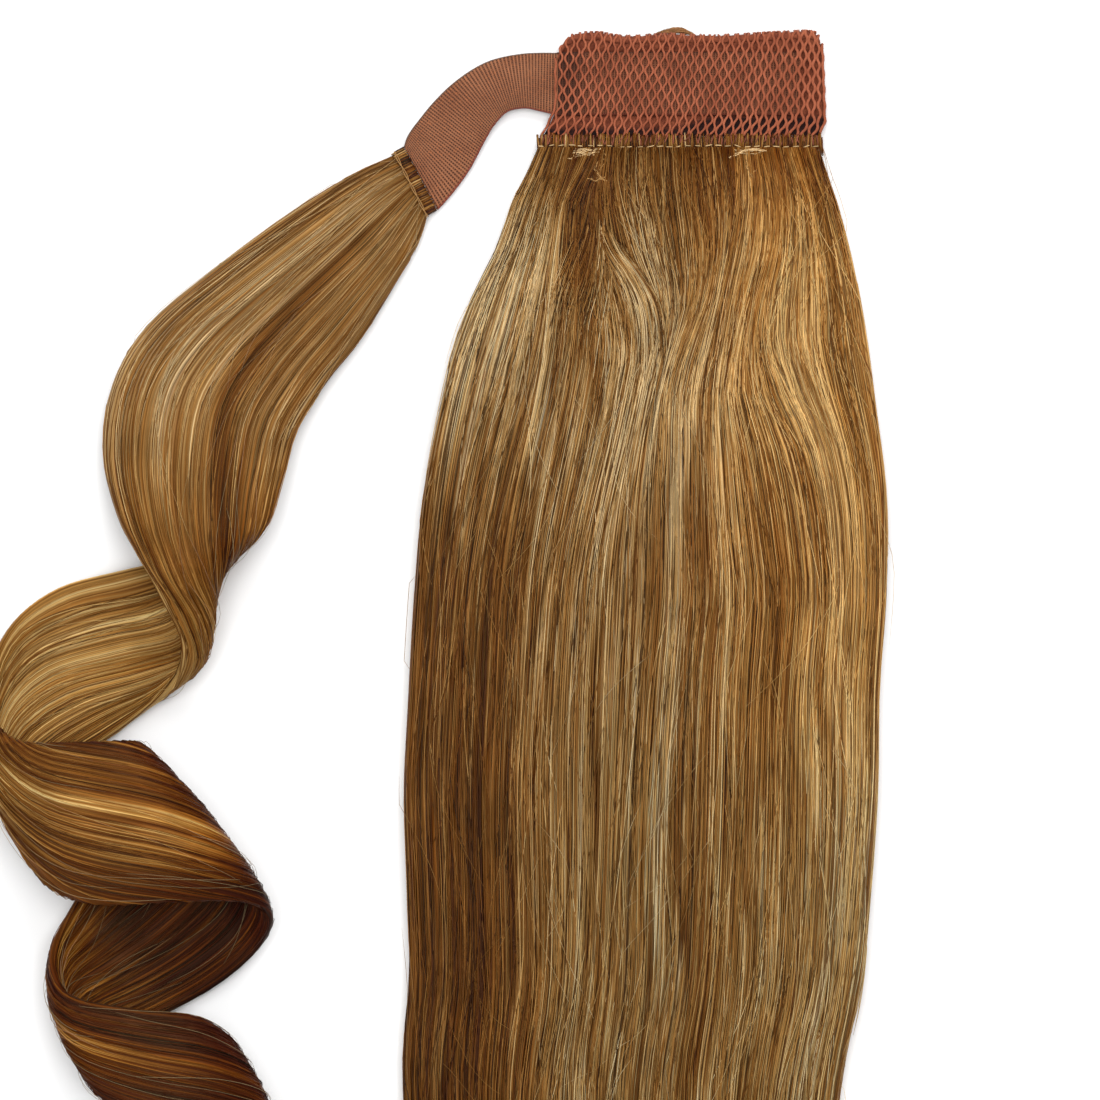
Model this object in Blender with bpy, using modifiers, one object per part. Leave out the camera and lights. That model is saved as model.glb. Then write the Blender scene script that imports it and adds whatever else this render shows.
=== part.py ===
"""Wrap-around ponytail hairpiece, lying face up on a flat surface, as it is laid out to be shown.

The base is a net sleeve, folded over at its top edge. A flat elastic strap runs inside the sleeve,
leaves it at the left and bends round to a short weft, which carries a long curled lock: the lock
that is wound round the finished ponytail. The ponytail itself hangs from a stitched seam along the
sleeve's lower edge. A plain comb is sewn under the sleeve and anchors the hairpiece.

+X is to the right across the sleeve, +Y runs from the tips of the hair to the sleeve's fold, and
+Z faces the viewer. The origin is the centre of the comb's spine, on the face that it lies on.
"""

import math

import bmesh
import bpy
from mathutils import Vector

MM = 0.001
GAP = 0.3 * MM

# Net sleeve: its outline is drawn round the strap's mouth on the left and the seam below
BAND_LEFT = -46.2 * MM
BAND_RIGHT = 56.4 * MM
BAND_TOP = 36.6 * MM
BAND_BOTTOM = -2.3 * MM
BAND_FLARE = 5.6 * MM
BAND_FLARE_HEIGHT = 12.5 * MM
BAND_WALL = 1.2 * MM
BAND_CHANNEL = 2.1 * MM
HOLE_COLUMNS = 19
HOLE_ROWS = 6
HOLE_WIDTH = 3.5 * MM
HOLE_HEIGHT = 8.0 * MM
HOLE_MARGIN = 3.4 * MM

# Elastic strap
STRAP_WIDTH = 24.7 * MM
STRAP_THICKNESS = 1.5 * MM
STRAP_MIDDLE = 18.1 * MM
STRAP_INNER_END = 47.0 * MM

# Hidden comb under the sleeve
COMB_WIDTH = 65.0 * MM
COMB_SPINE = 3.6 * MM
COMB_THICKNESS = 1.8 * MM
COMB_TEETH = 12
TOOTH_WIDTH = 1.5 * MM
TOOTH_LENGTH = 15.0 * MM

# Stitched seam that carries the ponytail
SEAM_LEFT = -53.4 * MM
SEAM_RIGHT = 55.6 * MM
SEAM_HEIGHT = 5.8 * MM
SEAM_THICKNESS = 5.2 * MM

# Ponytail
HAIR_LENGTH = 559.0 * MM
PONYTAIL_LOCKS = 8
PONYTAIL_RINGS = 21

# Short weft on the strap's end, and the curled lock that it carries
WRAP_SEAM_CENTRE = (-99.6 * MM, -19.0 * MM)
WRAP_SEAM_ANGLE = math.radians(-62.0)
WRAP_SEAM_WIDTH = 27.4 * MM
WRAP_SEAM_HEIGHT = 4.6 * MM
WRAP_SEAM_THICKNESS = 4.4 * MM
WRAP_LOCKS = 4
WRAP_RINGS_PER_ROW = 2

# Heights of the stack that the sleeve makes over the comb
BAND_BASE = COMB_THICKNESS + GAP
BAND_THICKNESS = 2 * BAND_WALL + BAND_CHANNEL

PONYTAIL_SAMPLES_PER_LOCK = 4
WRAP_SAMPLES_PER_LOCK = 3

# The ponytail from the seam down, in millimetres: how far below the seam, where the middle of the
# hair is, how wide it is, how high its underside lies and how deep it is.
PONYTAIL_SECTIONS = [
    dict(below=0.0, centre=0.6, width=107.0, underside=2.1, depth=5.4),
    dict(below=9.0, centre=0.0, width=115.5, underside=1.0, depth=9.0),
    dict(below=18.0, centre=-0.8, width=123.5, underside=0.0, depth=13.0),
    dict(below=37.0, centre=-1.4, width=134.5, underside=0.0, depth=17.0),
    dict(below=56.0, centre=-4.0, width=147.5, underside=0.0, depth=20.0),
    dict(below=75.0, centre=-5.9, width=157.5, underside=0.0, depth=21.5),
    dict(below=94.0, centre=-7.1, width=164.5, underside=0.0, depth=22.0),
    dict(below=132.0, centre=-8.4, width=176.0, underside=0.0, depth=22.0),
    dict(below=170.0, centre=-9.9, width=179.4, underside=0.0, depth=21.5),
    dict(below=208.0, centre=-12.4, width=179.0, underside=0.0, depth=21.0),
    dict(below=246.0, centre=-13.7, width=180.5, underside=0.0, depth=20.5),
    dict(below=284.0, centre=-14.3, width=177.0, underside=0.0, depth=20.0),
    dict(below=322.0, centre=-15.6, width=172.5, underside=0.0, depth=19.0),
    dict(below=360.0, centre=-20.4, width=168.0, underside=0.0, depth=18.0),
    dict(below=420.0, centre=-22.0, width=158.0, underside=0.0, depth=15.0),
    dict(below=480.0, centre=-22.5, width=143.0, underside=0.0, depth=11.5),
    dict(below=530.0, centre=-22.0, width=126.0, underside=0.0, depth=7.5),
    dict(below=559.0, centre=-21.0, width=114.0, underside=0.0, depth=3.2),
]

# The strap outside the sleeve, in millimetres: its middle line, height, the direction that it runs
# in, in degrees, its width, and how far its middle rises where the sideways bend cups it.
STRAP_SECTIONS = [
    dict(x=-36.0, y=18.1, z=4.35, heading=180.0, width=24.0, cup=0.0),
    dict(x=-45.5, y=18.0, z=4.35, heading=180.0, width=23.6, cup=0.0),
    dict(x=-51.5, y=18.6, z=4.6, heading=179.0, width=22.4, cup=0.6),
    dict(x=-59.0, y=18.9, z=5.0, heading=185.0, width=20.8, cup=1.4),
    dict(x=-68.3, y=16.8, z=5.2, heading=203.0, width=20.6, cup=1.8),
    dict(x=-76.4, y=11.0, z=5.0, heading=221.0, width=22.2, cup=1.8),
    dict(x=-82.8, y=3.6, z=4.4, heading=231.0, width=24.6, cup=1.2),
    dict(x=-88.8, y=-5.4, z=3.6, heading=232.0, width=26.8, cup=0.6),
    dict(x=-93.4, y=-12.0, z=3.1, heading=222.0, width=27.4, cup=0.2),
    dict(x=-97.5, y=-17.9, z=2.9, heading=208.0, width=27.4, cup=0.0),
]

# The curled lock, in millimetres, in rows across it from the weft to the tip. Each row gives the
# lock's outer edge, its middle and its inner edge, and how thick it is there.
WRAP_SECTIONS = [
    dict(outer=(-107.6, -9.0, 3.0), middle=(-101.6, -20.6, 3.2), inner=(-95.2, -32.4, 3.0), thick=4.2),
    dict(outer=(-124.5, -17.0, 3.6), middle=(-111.5, -29.5, 6.0), inner=(-98.2, -41.5, 3.6), thick=5.6),
    dict(outer=(-147.1, -31.2, 4.4), middle=(-125.0, -43.0, 9.0), inner=(-103.6, -52.0, 4.6), thick=7.0),
    dict(outer=(-175.0, -52.0, 6.0), middle=(-153.9, -69.2, 13.0), inner=(-120.0, -79.0, 6.0), thick=8.0),
    dict(outer=(-201.0, -74.0, 7.0), middle=(-170.5, -86.0, 16.0), inner=(-133.0, -95.5, 8.0), thick=8.0),
    dict(outer=(-214.5, -97.0, 8.0), middle=(-181.3, -104.6, 19.0), inner=(-144.4, -114.0, 10.0), thick=8.0),
    dict(outer=(-217.8, -123.5, 11.0), middle=(-184.5, -131.1, 26.0), inner=(-149.6, -133.0, 17.0), thick=7.6),
    dict(outer=(-211.5, -147.0, 22.0), middle=(-183.2, -153.0, 36.0), inner=(-156.0, -147.5, 22.0), thick=7.0),
    dict(outer=(-203.5, -161.5, 32.0), middle=(-180.8, -169.0, 36.5), inner=(-170.5, -157.0, 9.0), thick=6.6),
    dict(outer=(-195.5, -176.0, 35.0), middle=(-177.6, -186.0, 24.0), inner=(-190.0, -163.0, 4.5), thick=6.4),
    dict(outer=(-187.5, -194.5, 26.0), middle=(-184.5, -199.5, 10.5), inner=(-213.0, -167.5, 4.6), thick=6.4),
    dict(outer=(-192.5, -211.5, 11.5), middle=(-204.5, -206.0, 4.8), inner=(-236.0, -174.0, 5.0), thick=6.6),
    dict(outer=(-211.5, -228.0, 5.0), middle=(-232.5, -213.5, 5.0), inner=(-252.5, -187.0, 9.0), thick=7.0),
    dict(outer=(-237.0, -247.0, 8.0), middle=(-252.5, -228.0, 13.0), inner=(-260.0, -205.0, 20.0), thick=7.2),
    dict(outer=(-245.0, -268.0, 17.0), middle=(-257.0, -247.0, 27.0), inner=(-258.0, -222.0, 33.0), thick=7.2),
    dict(outer=(-237.5, -286.0, 30.0), middle=(-244.0, -257.0, 38.0), inner=(-247.0, -230.5, 39.0), thick=7.4),
    dict(outer=(-218.0, -293.0, 37.5), middle=(-220.0, -260.5, 42.0), inner=(-228.0, -231.5, 39.5), thick=7.4),
    dict(outer=(-189.0, -292.0, 36.0), middle=(-191.5, -262.0, 40.0), inner=(-208.5, -231.0, 36.5), thick=7.4),
    dict(outer=(-164.0, -292.5, 29.0), middle=(-176.5, -266.0, 32.0), inner=(-203.0, -233.0, 29.0), thick=7.2),
    dict(outer=(-153.6, -299.0, 20.0), middle=(-172.0, -273.5, 19.0), inner=(-203.5, -240.0, 17.0), thick=7.0),
    dict(outer=(-159.5, -312.0, 10.0), middle=(-180.0, -289.0, 7.0), inner=(-207.0, -256.0, 6.0), thick=6.8),
    dict(outer=(-175.5, -325.5, 4.8), middle=(-196.0, -304.0, 4.6), inner=(-219.0, -276.0, 4.8), thick=6.6),
    dict(outer=(-195.0, -336.5, 4.8), middle=(-215.0, -317.0, 5.6), inner=(-229.5, -294.0, 9.0), thick=6.4),
    dict(outer=(-213.5, -345.0, 10.0), middle=(-230.0, -326.5, 13.0), inner=(-235.5, -307.0, 17.0), thick=6.4),
    dict(outer=(-222.5, -355.5, 19.0), middle=(-232.5, -337.0, 24.0), inner=(-235.5, -318.0, 27.0), thick=6.2),
    dict(outer=(-215.5, -367.5, 28.0), middle=(-222.5, -347.0, 32.0), inner=(-228.0, -327.5, 32.0), thick=6.2),
    dict(outer=(-194.0, -376.5, 33.0), middle=(-199.0, -354.5, 35.5), inner=(-204.5, -332.0, 33.5), thick=6.0),
    dict(outer=(-168.0, -381.5, 28.0), middle=(-172.0, -361.0, 31.0), inner=(-179.5, -336.0, 28.0), thick=5.8),
    dict(outer=(-152.0, -391.0, 18.0), middle=(-156.0, -371.5, 19.0), inner=(-167.5, -349.5, 17.0), thick=5.6),
    dict(outer=(-160.0, -405.0, 7.0), middle=(-165.0, -387.5, 6.0), inner=(-177.0, -368.0, 6.0), thick=5.2),
    dict(outer=(-184.0, -415.0, 3.8), middle=(-190.5, -399.5, 3.8), inner=(-197.0, -383.0, 4.4), thick=4.8),
    dict(outer=(-202.5, -421.0, 6.5), middle=(-206.5, -408.5, 8.5), inner=(-207.5, -395.0, 10.5), thick=4.2),
    dict(outer=(-203.0, -432.0, 16.5), middle=(-205.0, -420.5, 18.5), inner=(-204.5, -409.5, 19.5), thick=3.6),
    dict(outer=(-186.0, -438.0, 20.5), middle=(-187.5, -429.5, 21.5), inner=(-188.5, -421.5, 21.5), thick=2.8),
    dict(outer=(-168.0, -440.0, 15.0), middle=(-168.5, -436.5, 15.5), inner=(-169.0, -433.0, 15.5), thick=1.8),
]


def clear_scene():
    for obj in list(bpy.data.objects):
        bpy.data.objects.remove(obj)


def new_collection(name):
    collection = bpy.data.collections.new(name)
    bpy.context.scene.collection.children.link(collection)
    return collection


def material(name, colour, roughness, metallic=0.0):
    made = bpy.data.materials.new(name)
    made.use_nodes = True
    shader = made.node_tree.nodes["Principled BSDF"]
    shader.inputs["Base Color"].default_value = (*colour, 1.0)
    shader.inputs["Roughness"].default_value = roughness
    shader.inputs["Metallic"].default_value = metallic
    return made


def mesh_object(name, points, faces, collection, finish=None):
    """A new object from points and faces, with its normals turned outwards."""
    mesh = bpy.data.meshes.new(name)
    mesh.from_pydata([tuple(p) for p in points], [], faces)
    shaped = bmesh.new()
    shaped.from_mesh(mesh)
    bmesh.ops.recalc_face_normals(shaped, faces=shaped.faces)
    shaped.to_mesh(mesh)
    shaped.free()
    obj = bpy.data.objects.new(name, mesh)
    collection.objects.link(obj)
    if finish:
        mesh.materials.append(finish)
    mesh.shade_smooth()
    mesh.set_sharp_from_angle(angle=math.radians(40.0))
    return obj


def as_cutter(obj):
    obj.hide_render = True
    obj.display_type = "WIRE"
    return obj


def cut(obj, cutter):
    boolean = obj.modifiers.new("cut_" + cutter.name, "BOOLEAN")
    boolean.operation = "DIFFERENCE"
    boolean.object = cutter
    boolean.solver = "EXACT"


def outline_slab(name, outline, base, thickness, collection, finish=None, bevel=0.0):
    """A flat outline, given as points, stood up from base: a filled 2D curve turned into a mesh."""
    curve = bpy.data.curves.new(name, "CURVE")
    curve.dimensions = "2D"
    curve.fill_mode = "BOTH"
    curve.extrude = thickness / 2 - bevel
    curve.bevel_depth = bevel
    curve.bevel_resolution = 1
    curve.offset = -bevel
    spline = curve.splines.new("POLY")
    spline.points.add(len(outline) - 1)
    for point, (x, y) in zip(spline.points, outline):
        point.co = (x, y, 0.0, 1.0)
    spline.use_cyclic_u = True
    drawn = bpy.data.objects.new(name + "_outline", curve)
    collection.objects.link(drawn)
    graph = bpy.context.evaluated_depsgraph_get()
    mesh = bpy.data.meshes.new_from_object(drawn.evaluated_get(graph))
    bpy.data.objects.remove(drawn)
    welded = bmesh.new()
    welded.from_mesh(mesh)
    bmesh.ops.remove_doubles(welded, verts=welded.verts, dist=0.00001)
    bmesh.ops.dissolve_limit(welded, angle_limit=0.01, verts=welded.verts, edges=welded.edges)
    bmesh.ops.recalc_face_normals(welded, faces=welded.faces)
    welded.to_mesh(mesh)
    welded.free()
    mesh.name = name
    if finish:
        mesh.materials.clear()
        mesh.materials.append(finish)
    obj = bpy.data.objects.new(name, mesh)
    obj.location.z = base + thickness / 2
    collection.objects.link(obj)
    return obj


def rounded(corners, steps=5):
    """The outline through corners (x, y, radius), each rounded by an arc where its radius isn't 0."""
    outline = []
    for k, (x, y, radius) in enumerate(corners):
        corner = Vector((x, y))
        if radius == 0.0:
            outline.append((x, y))
            continue
        before = (Vector(corners[k - 1][:2]) - corner).normalized()
        after = (Vector(corners[(k + 1) % len(corners)][:2]) - corner).normalized()
        half = before.angle(after) / 2
        centre = corner + (before + after).normalized() * radius / math.sin(half)
        start = corner + before * radius / math.tan(half) - centre
        end = corner + after * radius / math.tan(half) - centre
        begin = math.atan2(start.y, start.x)
        sweep = math.remainder(math.atan2(end.y, end.x) - begin, 2 * math.pi)
        for n in range(steps + 1):
            angle = begin + sweep * n / steps
            outline.append((centre.x + radius * math.cos(angle), centre.y + radius * math.sin(angle)))
    return outline


def smooth_between(rows, position):
    """The value at a place between rows on a curve through them all (Catmull-Rom)."""
    last = len(rows) - 1
    k = min(int(position), last - 1)
    t = position - k
    a, b, c, d = (rows[min(max(j, 0), last)] for j in (k - 1, k, k + 1, k + 2))
    return (
        b
        + (c - a) * (t / 2)
        + (a * 2 - b * 5 + c * 4 - d) * (t * t / 2)
        + (b * 3 - a - c * 3 + d) * (t * t * t / 2)
    )


def column(table, name, scale=MM):
    return [row[name] * scale for row in table]


def point_column(table, name):
    return [Vector(row[name]) * MM for row in table]


def bridged_rings(rings):
    """The faces of a closed loft: quads between rings, and rows of quads that cap both ends.

    Each ring lists its upper points from edge to edge, then its lower points on the way back.
    """
    count = len(rings[0])
    faces = []
    for r in range(len(rings) - 1):
        for k in range(count):
            here, there = r * count, (r + 1) * count
            following = (k + 1) % count
            faces.append((here + k, here + following, there + following, there + k))
    for base in (0, (len(rings) - 1) * count):
        for k in range(count // 2 - 1):
            across = count - 1 - k
            faces.append((base + k, base + k + 1, base + across - 1, base + across))
    return faces


def lock_relief(share, locks):
    """How full the hair is at this share of its width: 0 in the crease between locks, 1 on a lock."""
    return abs(math.sin(math.pi * locks * share))


def across_hair(locks, samples_per_lock):
    steps = locks * samples_per_lock
    return [k / steps for k in range(steps + 1)]


def crown(share, fullness=2.6):
    """The height profile of a bundle of hair across its width: round at the edges, full inside."""
    return math.sqrt(max(0.0, 1.0 - abs(2.0 * share - 1.0) ** fullness))


def tip_cut(share, locks):
    """How much shorter the hair ends at this share of its width, as a part of its length."""
    lock = min(int(share * locks), locks - 1)
    own = 0.035 * (0.5 + 0.5 * math.sin(2.4 * lock + 0.7))
    edge = 0.05 * abs(2.0 * share - 1.0) ** 3
    return own + edge + 0.045 * (1.0 - lock_relief(share, locks))


def build_ponytail(collection, finish):
    """The ponytail: flat where it lies, crowned above, its locks fused side by side."""
    start = BAND_BOTTOM - GAP - SEAM_HEIGHT - GAP
    last = len(PONYTAIL_SECTIONS) - 1
    names = ("below", "centre", "width", "underside", "depth")
    columns = {name: column(PONYTAIL_SECTIONS, name) for name in names}
    shares = across_hair(PONYTAIL_LOCKS, PONYTAIL_SAMPLES_PER_LOCK)
    rings = []
    for r in range(PONYTAIL_RINGS):
        position = last * r / (PONYTAIL_RINGS - 1)
        here = {name: smooth_between(columns[name], position) for name in names}
        down = here["below"] / HAIR_LENGTH
        relief = 1.8 * MM * min(1.0, 4.0 * down)
        upper, lower = [], []
        for share in shares:
            x = here["centre"] + (share - 0.5) * here["width"]
            y = start - here["below"] * (1.0 - tip_cut(share, PONYTAIL_LOCKS) * down**4)
            side = max(0.0, here["underside"]) + 0.34 * here["depth"]
            groove = relief * (lock_relief(share, PONYTAIL_LOCKS) - 1.0)
            top = side + (0.66 * here["depth"] + groove) * crown(share)
            bottom = side - 0.34 * here["depth"] * min(1.0, 1.6 * crown(share))
            edge = 0.06 * here["depth"]
            upper.append((x, y, top + edge))
            lower.append((x, y, min(bottom, side - edge)))
        rings.append(upper + lower[::-1])
    points = [p for ring in rings for p in ring]
    return mesh_object("ponytail_hair", points, bridged_rings(rings), collection, finish)


def lock_surface(row_position, share):
    """A point of the curled lock's middle surface: a parabola through a row's three points."""
    outer, middle, inner = (
        smooth_between(point_column(WRAP_SECTIONS, name), row_position)
        for name in ("outer", "middle", "inner")
    )
    across = 2.0 * share - 1.0
    return middle + (inner - outer) * (across / 2) + (outer + inner - middle * 2) * (across**2 / 2)


def build_wrap_lock(collection, finish):
    """The curled lock: a wide flat bundle that turns over itself as a ringlet."""
    shares = across_hair(WRAP_LOCKS, WRAP_SAMPLES_PER_LOCK)
    last = len(WRAP_SECTIONS) - 1
    count = last * WRAP_RINGS_PER_ROW
    surface = [[lock_surface(last * r / count, s) for s in shares] for r in range(count + 1)]
    thick = column(WRAP_SECTIONS, "thick")
    rings = []
    for r in range(count + 1):
        before, after = surface[max(r - 1, 0)], surface[min(r + 1, count)]
        thickness = smooth_between(thick, last * r / count)
        upper, lower = [], []
        for k, share in enumerate(shares):
            along = after[k] - before[k]
            over = surface[r][min(k + 1, len(shares) - 1)] - surface[r][max(k - 1, 0)]
            normal = over.cross(along).normalized() * -1.0
            groove = 0.22 * (lock_relief(share, WRAP_LOCKS) - 1.0) * min(1.0, 6.0 * r / count)
            half = thickness / 2 * (0.22 + 0.78 * crown(share) * (1.0 + groove))
            upper.append(surface[r][k] + normal * half)
            lower.append(surface[r][k] - normal * half)
        rings.append(upper + lower[::-1])
    points = [p for ring in rings for p in ring]
    return mesh_object("wrap_lock", points, bridged_rings(rings), collection, finish)


def band_outline(inset=0.0):
    """The sleeve's outline: a rounded fold above, and a flare down to the seam at the left."""
    left, right = BAND_LEFT + inset, BAND_RIGHT - inset
    top, bottom = BAND_TOP - inset, BAND_BOTTOM + inset
    corners = [
        (left - BAND_FLARE, bottom, 0.0),
        (right - 2.4 * MM, bottom, 0.0),
        (right, bottom + 6.0 * MM, 3.0 * MM),
        (right - 1.2 * MM, top, 3.4 * MM),
        (left, top - 0.6 * MM, 8.5 * MM),
        (left, bottom + BAND_FLARE_HEIGHT, 6.0 * MM),
    ]
    return rounded(corners)


def build_band_cavity(cutters):
    """The strap's channel, which opens at the sleeve's left edge."""
    left = BAND_LEFT - 2 * BAND_FLARE
    right = BAND_RIGHT - 4.0 * MM
    bottom = STRAP_MIDDLE - STRAP_WIDTH / 2 - 2.2 * MM
    top = STRAP_MIDDLE + STRAP_WIDTH / 2 + 2.2 * MM
    corners = [
        (left, bottom, 0.0),
        (right, bottom, 1.5 * MM),
        (right, top, 1.5 * MM),
        (left, top, 0.0),
    ]
    base = BAND_BASE + BAND_WALL
    return as_cutter(outline_slab("strap_channel", rounded(corners), base, BAND_CHANNEL, cutters))


def net_hole(x, y, base, top):
    """The six-cornered prism's points and faces for one eye of the net: pointed above and below."""
    half, quarter = HOLE_HEIGHT / 2, HOLE_HEIGHT / 7
    side = HOLE_WIDTH / 2
    eye = [(0, half), (-side, quarter), (-side, -quarter), (0, -half), (side, -quarter), (side, quarter)]
    points = [(x + u, y + v, z) for z in (base, top) for u, v in eye]
    count = len(eye)
    faces = [tuple(reversed(range(count))), tuple(range(count, 2 * count))]
    for k in range(count):
        following = (k + 1) % count
        faces.append((k, following, count + following, count + k))
    return points, faces


def build_net_holes(cutters):
    """All the eyes of the net's front wall, in staggered rows, as one cutter."""
    left, right = BAND_LEFT + HOLE_MARGIN, BAND_RIGHT - HOLE_MARGIN
    bottom, top = BAND_BOTTOM + HOLE_MARGIN, BAND_TOP - HOLE_MARGIN
    pitch = (right - left - HOLE_WIDTH) / (HOLE_COLUMNS - 1)
    rise = (top - bottom - HOLE_HEIGHT) / (HOLE_ROWS - 1)
    base = BAND_BASE + BAND_WALL + BAND_CHANNEL / 2
    points, faces = [], []
    for row in range(HOLE_ROWS):
        shifted = row % 2
        for place in range(HOLE_COLUMNS - shifted):
            x = left + HOLE_WIDTH / 2 + (place + shifted / 2) * pitch
            y = bottom + HOLE_HEIGHT / 2 + row * rise
            corner = place == 0 and row >= HOLE_ROWS - 2
            if corner:
                continue
            own_points, own_faces = net_hole(x, y, base, BAND_BASE + 2 * BAND_THICKNESS)
            faces += [tuple(k + len(points) for k in face) for face in own_faces]
            points += own_points
    return as_cutter(mesh_object("net_holes", points, faces, cutters))


def build_net_band(collection, cutters, finish):
    """The net sleeve: a flat pouch with the strap's channel in it and eyes through its front."""
    band = outline_slab(
        "net_band", band_outline(), BAND_BASE, BAND_THICKNESS, collection, finish, bevel=0.8 * MM
    )
    cut(band, build_band_cavity(cutters))
    cut(band, build_net_holes(cutters))
    return band


def build_strap(collection, finish):
    """The elastic strap: an open strip along its middle line, thickened."""
    names = ("x", "y", "z", "heading", "width", "cup")
    inner = dict(STRAP_SECTIONS[0], x=STRAP_INNER_END / MM)
    table = [inner] + STRAP_SECTIONS
    columns = {name: column(table, name) for name in names}
    columns["heading"] = column(table, "heading", math.radians(1.0))
    last = len(table) - 1
    steps = 3 * last
    rows = []
    for r in range(steps + 1):
        rows.append({name: smooth_between(columns[name], last * r / steps) for name in names})
    points, faces = [], []
    shares = (0.0, 0.25, 0.5, 0.75, 1.0)
    for row in rows:
        side = Vector((math.sin(row["heading"]), -math.cos(row["heading"]), 0.0))
        middle = Vector((row["x"], row["y"], row["z"]))
        for share in shares:
            rise = row["cup"] * (1.0 - (2.0 * share - 1.0) ** 2)
            points.append(middle + side * (share - 0.5) * row["width"] + Vector((0, 0, rise)))
    count = len(shares)
    for r in range(steps):
        for k in range(count - 1):
            here = r * count + k
            faces.append((here, here + 1, here + count + 1, here + count))
    strap = mesh_object("elastic_strap", points, faces, collection, finish)
    thickened = strap.modifiers.new("thickness", "SOLIDIFY")
    thickened.thickness = STRAP_THICKNESS
    thickened.offset = 0.0
    return strap


def rounded_bar(name, size, collection, finish, bevel):
    """A bar with rounded edges, from a cube with its scale applied."""
    bpy.ops.mesh.primitive_cube_add(size=1.0)
    bar = bpy.context.object
    bar.name = name
    bar.data.name = name
    for vertex in bar.data.vertices:
        vertex.co = Vector(a * b for a, b in zip(vertex.co, size))
    for holder in list(bar.users_collection):
        holder.objects.unlink(bar)
    collection.objects.link(bar)
    bar.data.materials.append(finish)
    edges = bar.modifiers.new("rounded_edges", "BEVEL")
    edges.width = bevel
    edges.segments = 2
    return bar


def build_ponytail_seam(collection, finish):
    size = (SEAM_RIGHT - SEAM_LEFT, SEAM_HEIGHT, SEAM_THICKNESS)
    seam = rounded_bar("ponytail_seam", size, collection, finish, 1.2 * MM)
    middle = BAND_BOTTOM - GAP - SEAM_HEIGHT / 2
    seam.location = ((SEAM_LEFT + SEAM_RIGHT) / 2, middle, BAND_BASE + SEAM_THICKNESS / 2)
    return seam


def build_wrap_seam(collection, finish):
    size = (WRAP_SEAM_WIDTH, WRAP_SEAM_HEIGHT - 2 * GAP, WRAP_SEAM_THICKNESS)
    seam = rounded_bar("wrap_seam", size, collection, finish, 1.0 * MM)
    seam.location = (*WRAP_SEAM_CENTRE, 0.6 * MM + WRAP_SEAM_THICKNESS / 2)
    seam.rotation_euler.z = WRAP_SEAM_ANGLE
    return seam


def build_comb(collection, finish):
    """The comb: one flat outline, a spine below and teeth that point to the fold."""
    spine_top = COMB_SPINE / 2
    pitch = (COMB_WIDTH - TOOTH_WIDTH) / (COMB_TEETH - 1)
    outline = [(-COMB_WIDTH / 2, -spine_top), (COMB_WIDTH / 2, -spine_top)]
    for n in reversed(range(COMB_TEETH)):
        middle = -COMB_WIDTH / 2 + TOOTH_WIDTH / 2 + n * pitch
        tip = spine_top + TOOTH_LENGTH
        shoulder = tip - TOOTH_WIDTH
        right, left = middle + TOOTH_WIDTH / 2, middle - TOOTH_WIDTH / 2
        if n < COMB_TEETH - 1:
            outline.append((right, spine_top))
        outline += [(right, shoulder), (middle + TOOTH_WIDTH / 5, tip)]
        outline += [(middle - TOOTH_WIDTH / 5, tip), (left, shoulder)]
        if n > 0:
            outline.append((left, spine_top))
    return outline_slab("comb", outline, 0.0, COMB_THICKNESS, collection, finish)


def build():
    clear_scene()
    parts = new_collection("ponytail_hairpiece")
    cutters = new_collection("cutters")
    hair = material("hair", (0.42, 0.25, 0.10), 0.45)
    net = material("net", (0.47, 0.22, 0.16), 0.85)
    elastic = material("elastic", (0.45, 0.21, 0.15), 0.8)
    weft = material("weft", (0.36, 0.22, 0.10), 0.7)
    comb = material("comb", (0.30, 0.16, 0.10), 0.4)
    build_net_band(parts, cutters, net)
    build_strap(parts, elastic)
    build_ponytail_seam(parts, weft)
    build_ponytail(parts, hair)
    build_wrap_seam(parts, weft)
    build_wrap_lock(parts, hair)
    build_comb(parts, comb)


build()
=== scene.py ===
"""Looks of the wrap-around ponytail hairpiece: real strands, an open net, a ribbed strap, stitches."""

import math

import bpy
import numpy as np
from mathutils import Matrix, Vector


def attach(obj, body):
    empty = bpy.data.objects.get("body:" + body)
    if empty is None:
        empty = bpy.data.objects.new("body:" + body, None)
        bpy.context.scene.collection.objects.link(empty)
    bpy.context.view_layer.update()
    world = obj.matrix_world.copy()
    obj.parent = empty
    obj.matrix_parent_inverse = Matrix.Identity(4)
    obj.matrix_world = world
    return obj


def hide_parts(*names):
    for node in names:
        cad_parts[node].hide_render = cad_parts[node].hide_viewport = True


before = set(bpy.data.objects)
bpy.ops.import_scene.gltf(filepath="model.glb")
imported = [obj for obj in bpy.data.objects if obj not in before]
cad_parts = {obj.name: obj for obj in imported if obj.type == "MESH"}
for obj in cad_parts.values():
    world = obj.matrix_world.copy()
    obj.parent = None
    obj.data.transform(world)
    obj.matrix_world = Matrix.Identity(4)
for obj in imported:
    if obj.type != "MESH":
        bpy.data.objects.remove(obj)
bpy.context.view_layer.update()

MM = 0.001
UP = np.array([0.0, 0.0, 1.0])
TAU = 2 * math.pi

# The photo's frame: how many millimetres its sides show, its centre in the model's frame
VIEW_SIZE = 418.0 * MM
VIEW_CENTRE = (-48.3 * MM, -159.6 * MM)
CAMERA_HEIGHT = 2.2
SENSOR = 36.0

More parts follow.
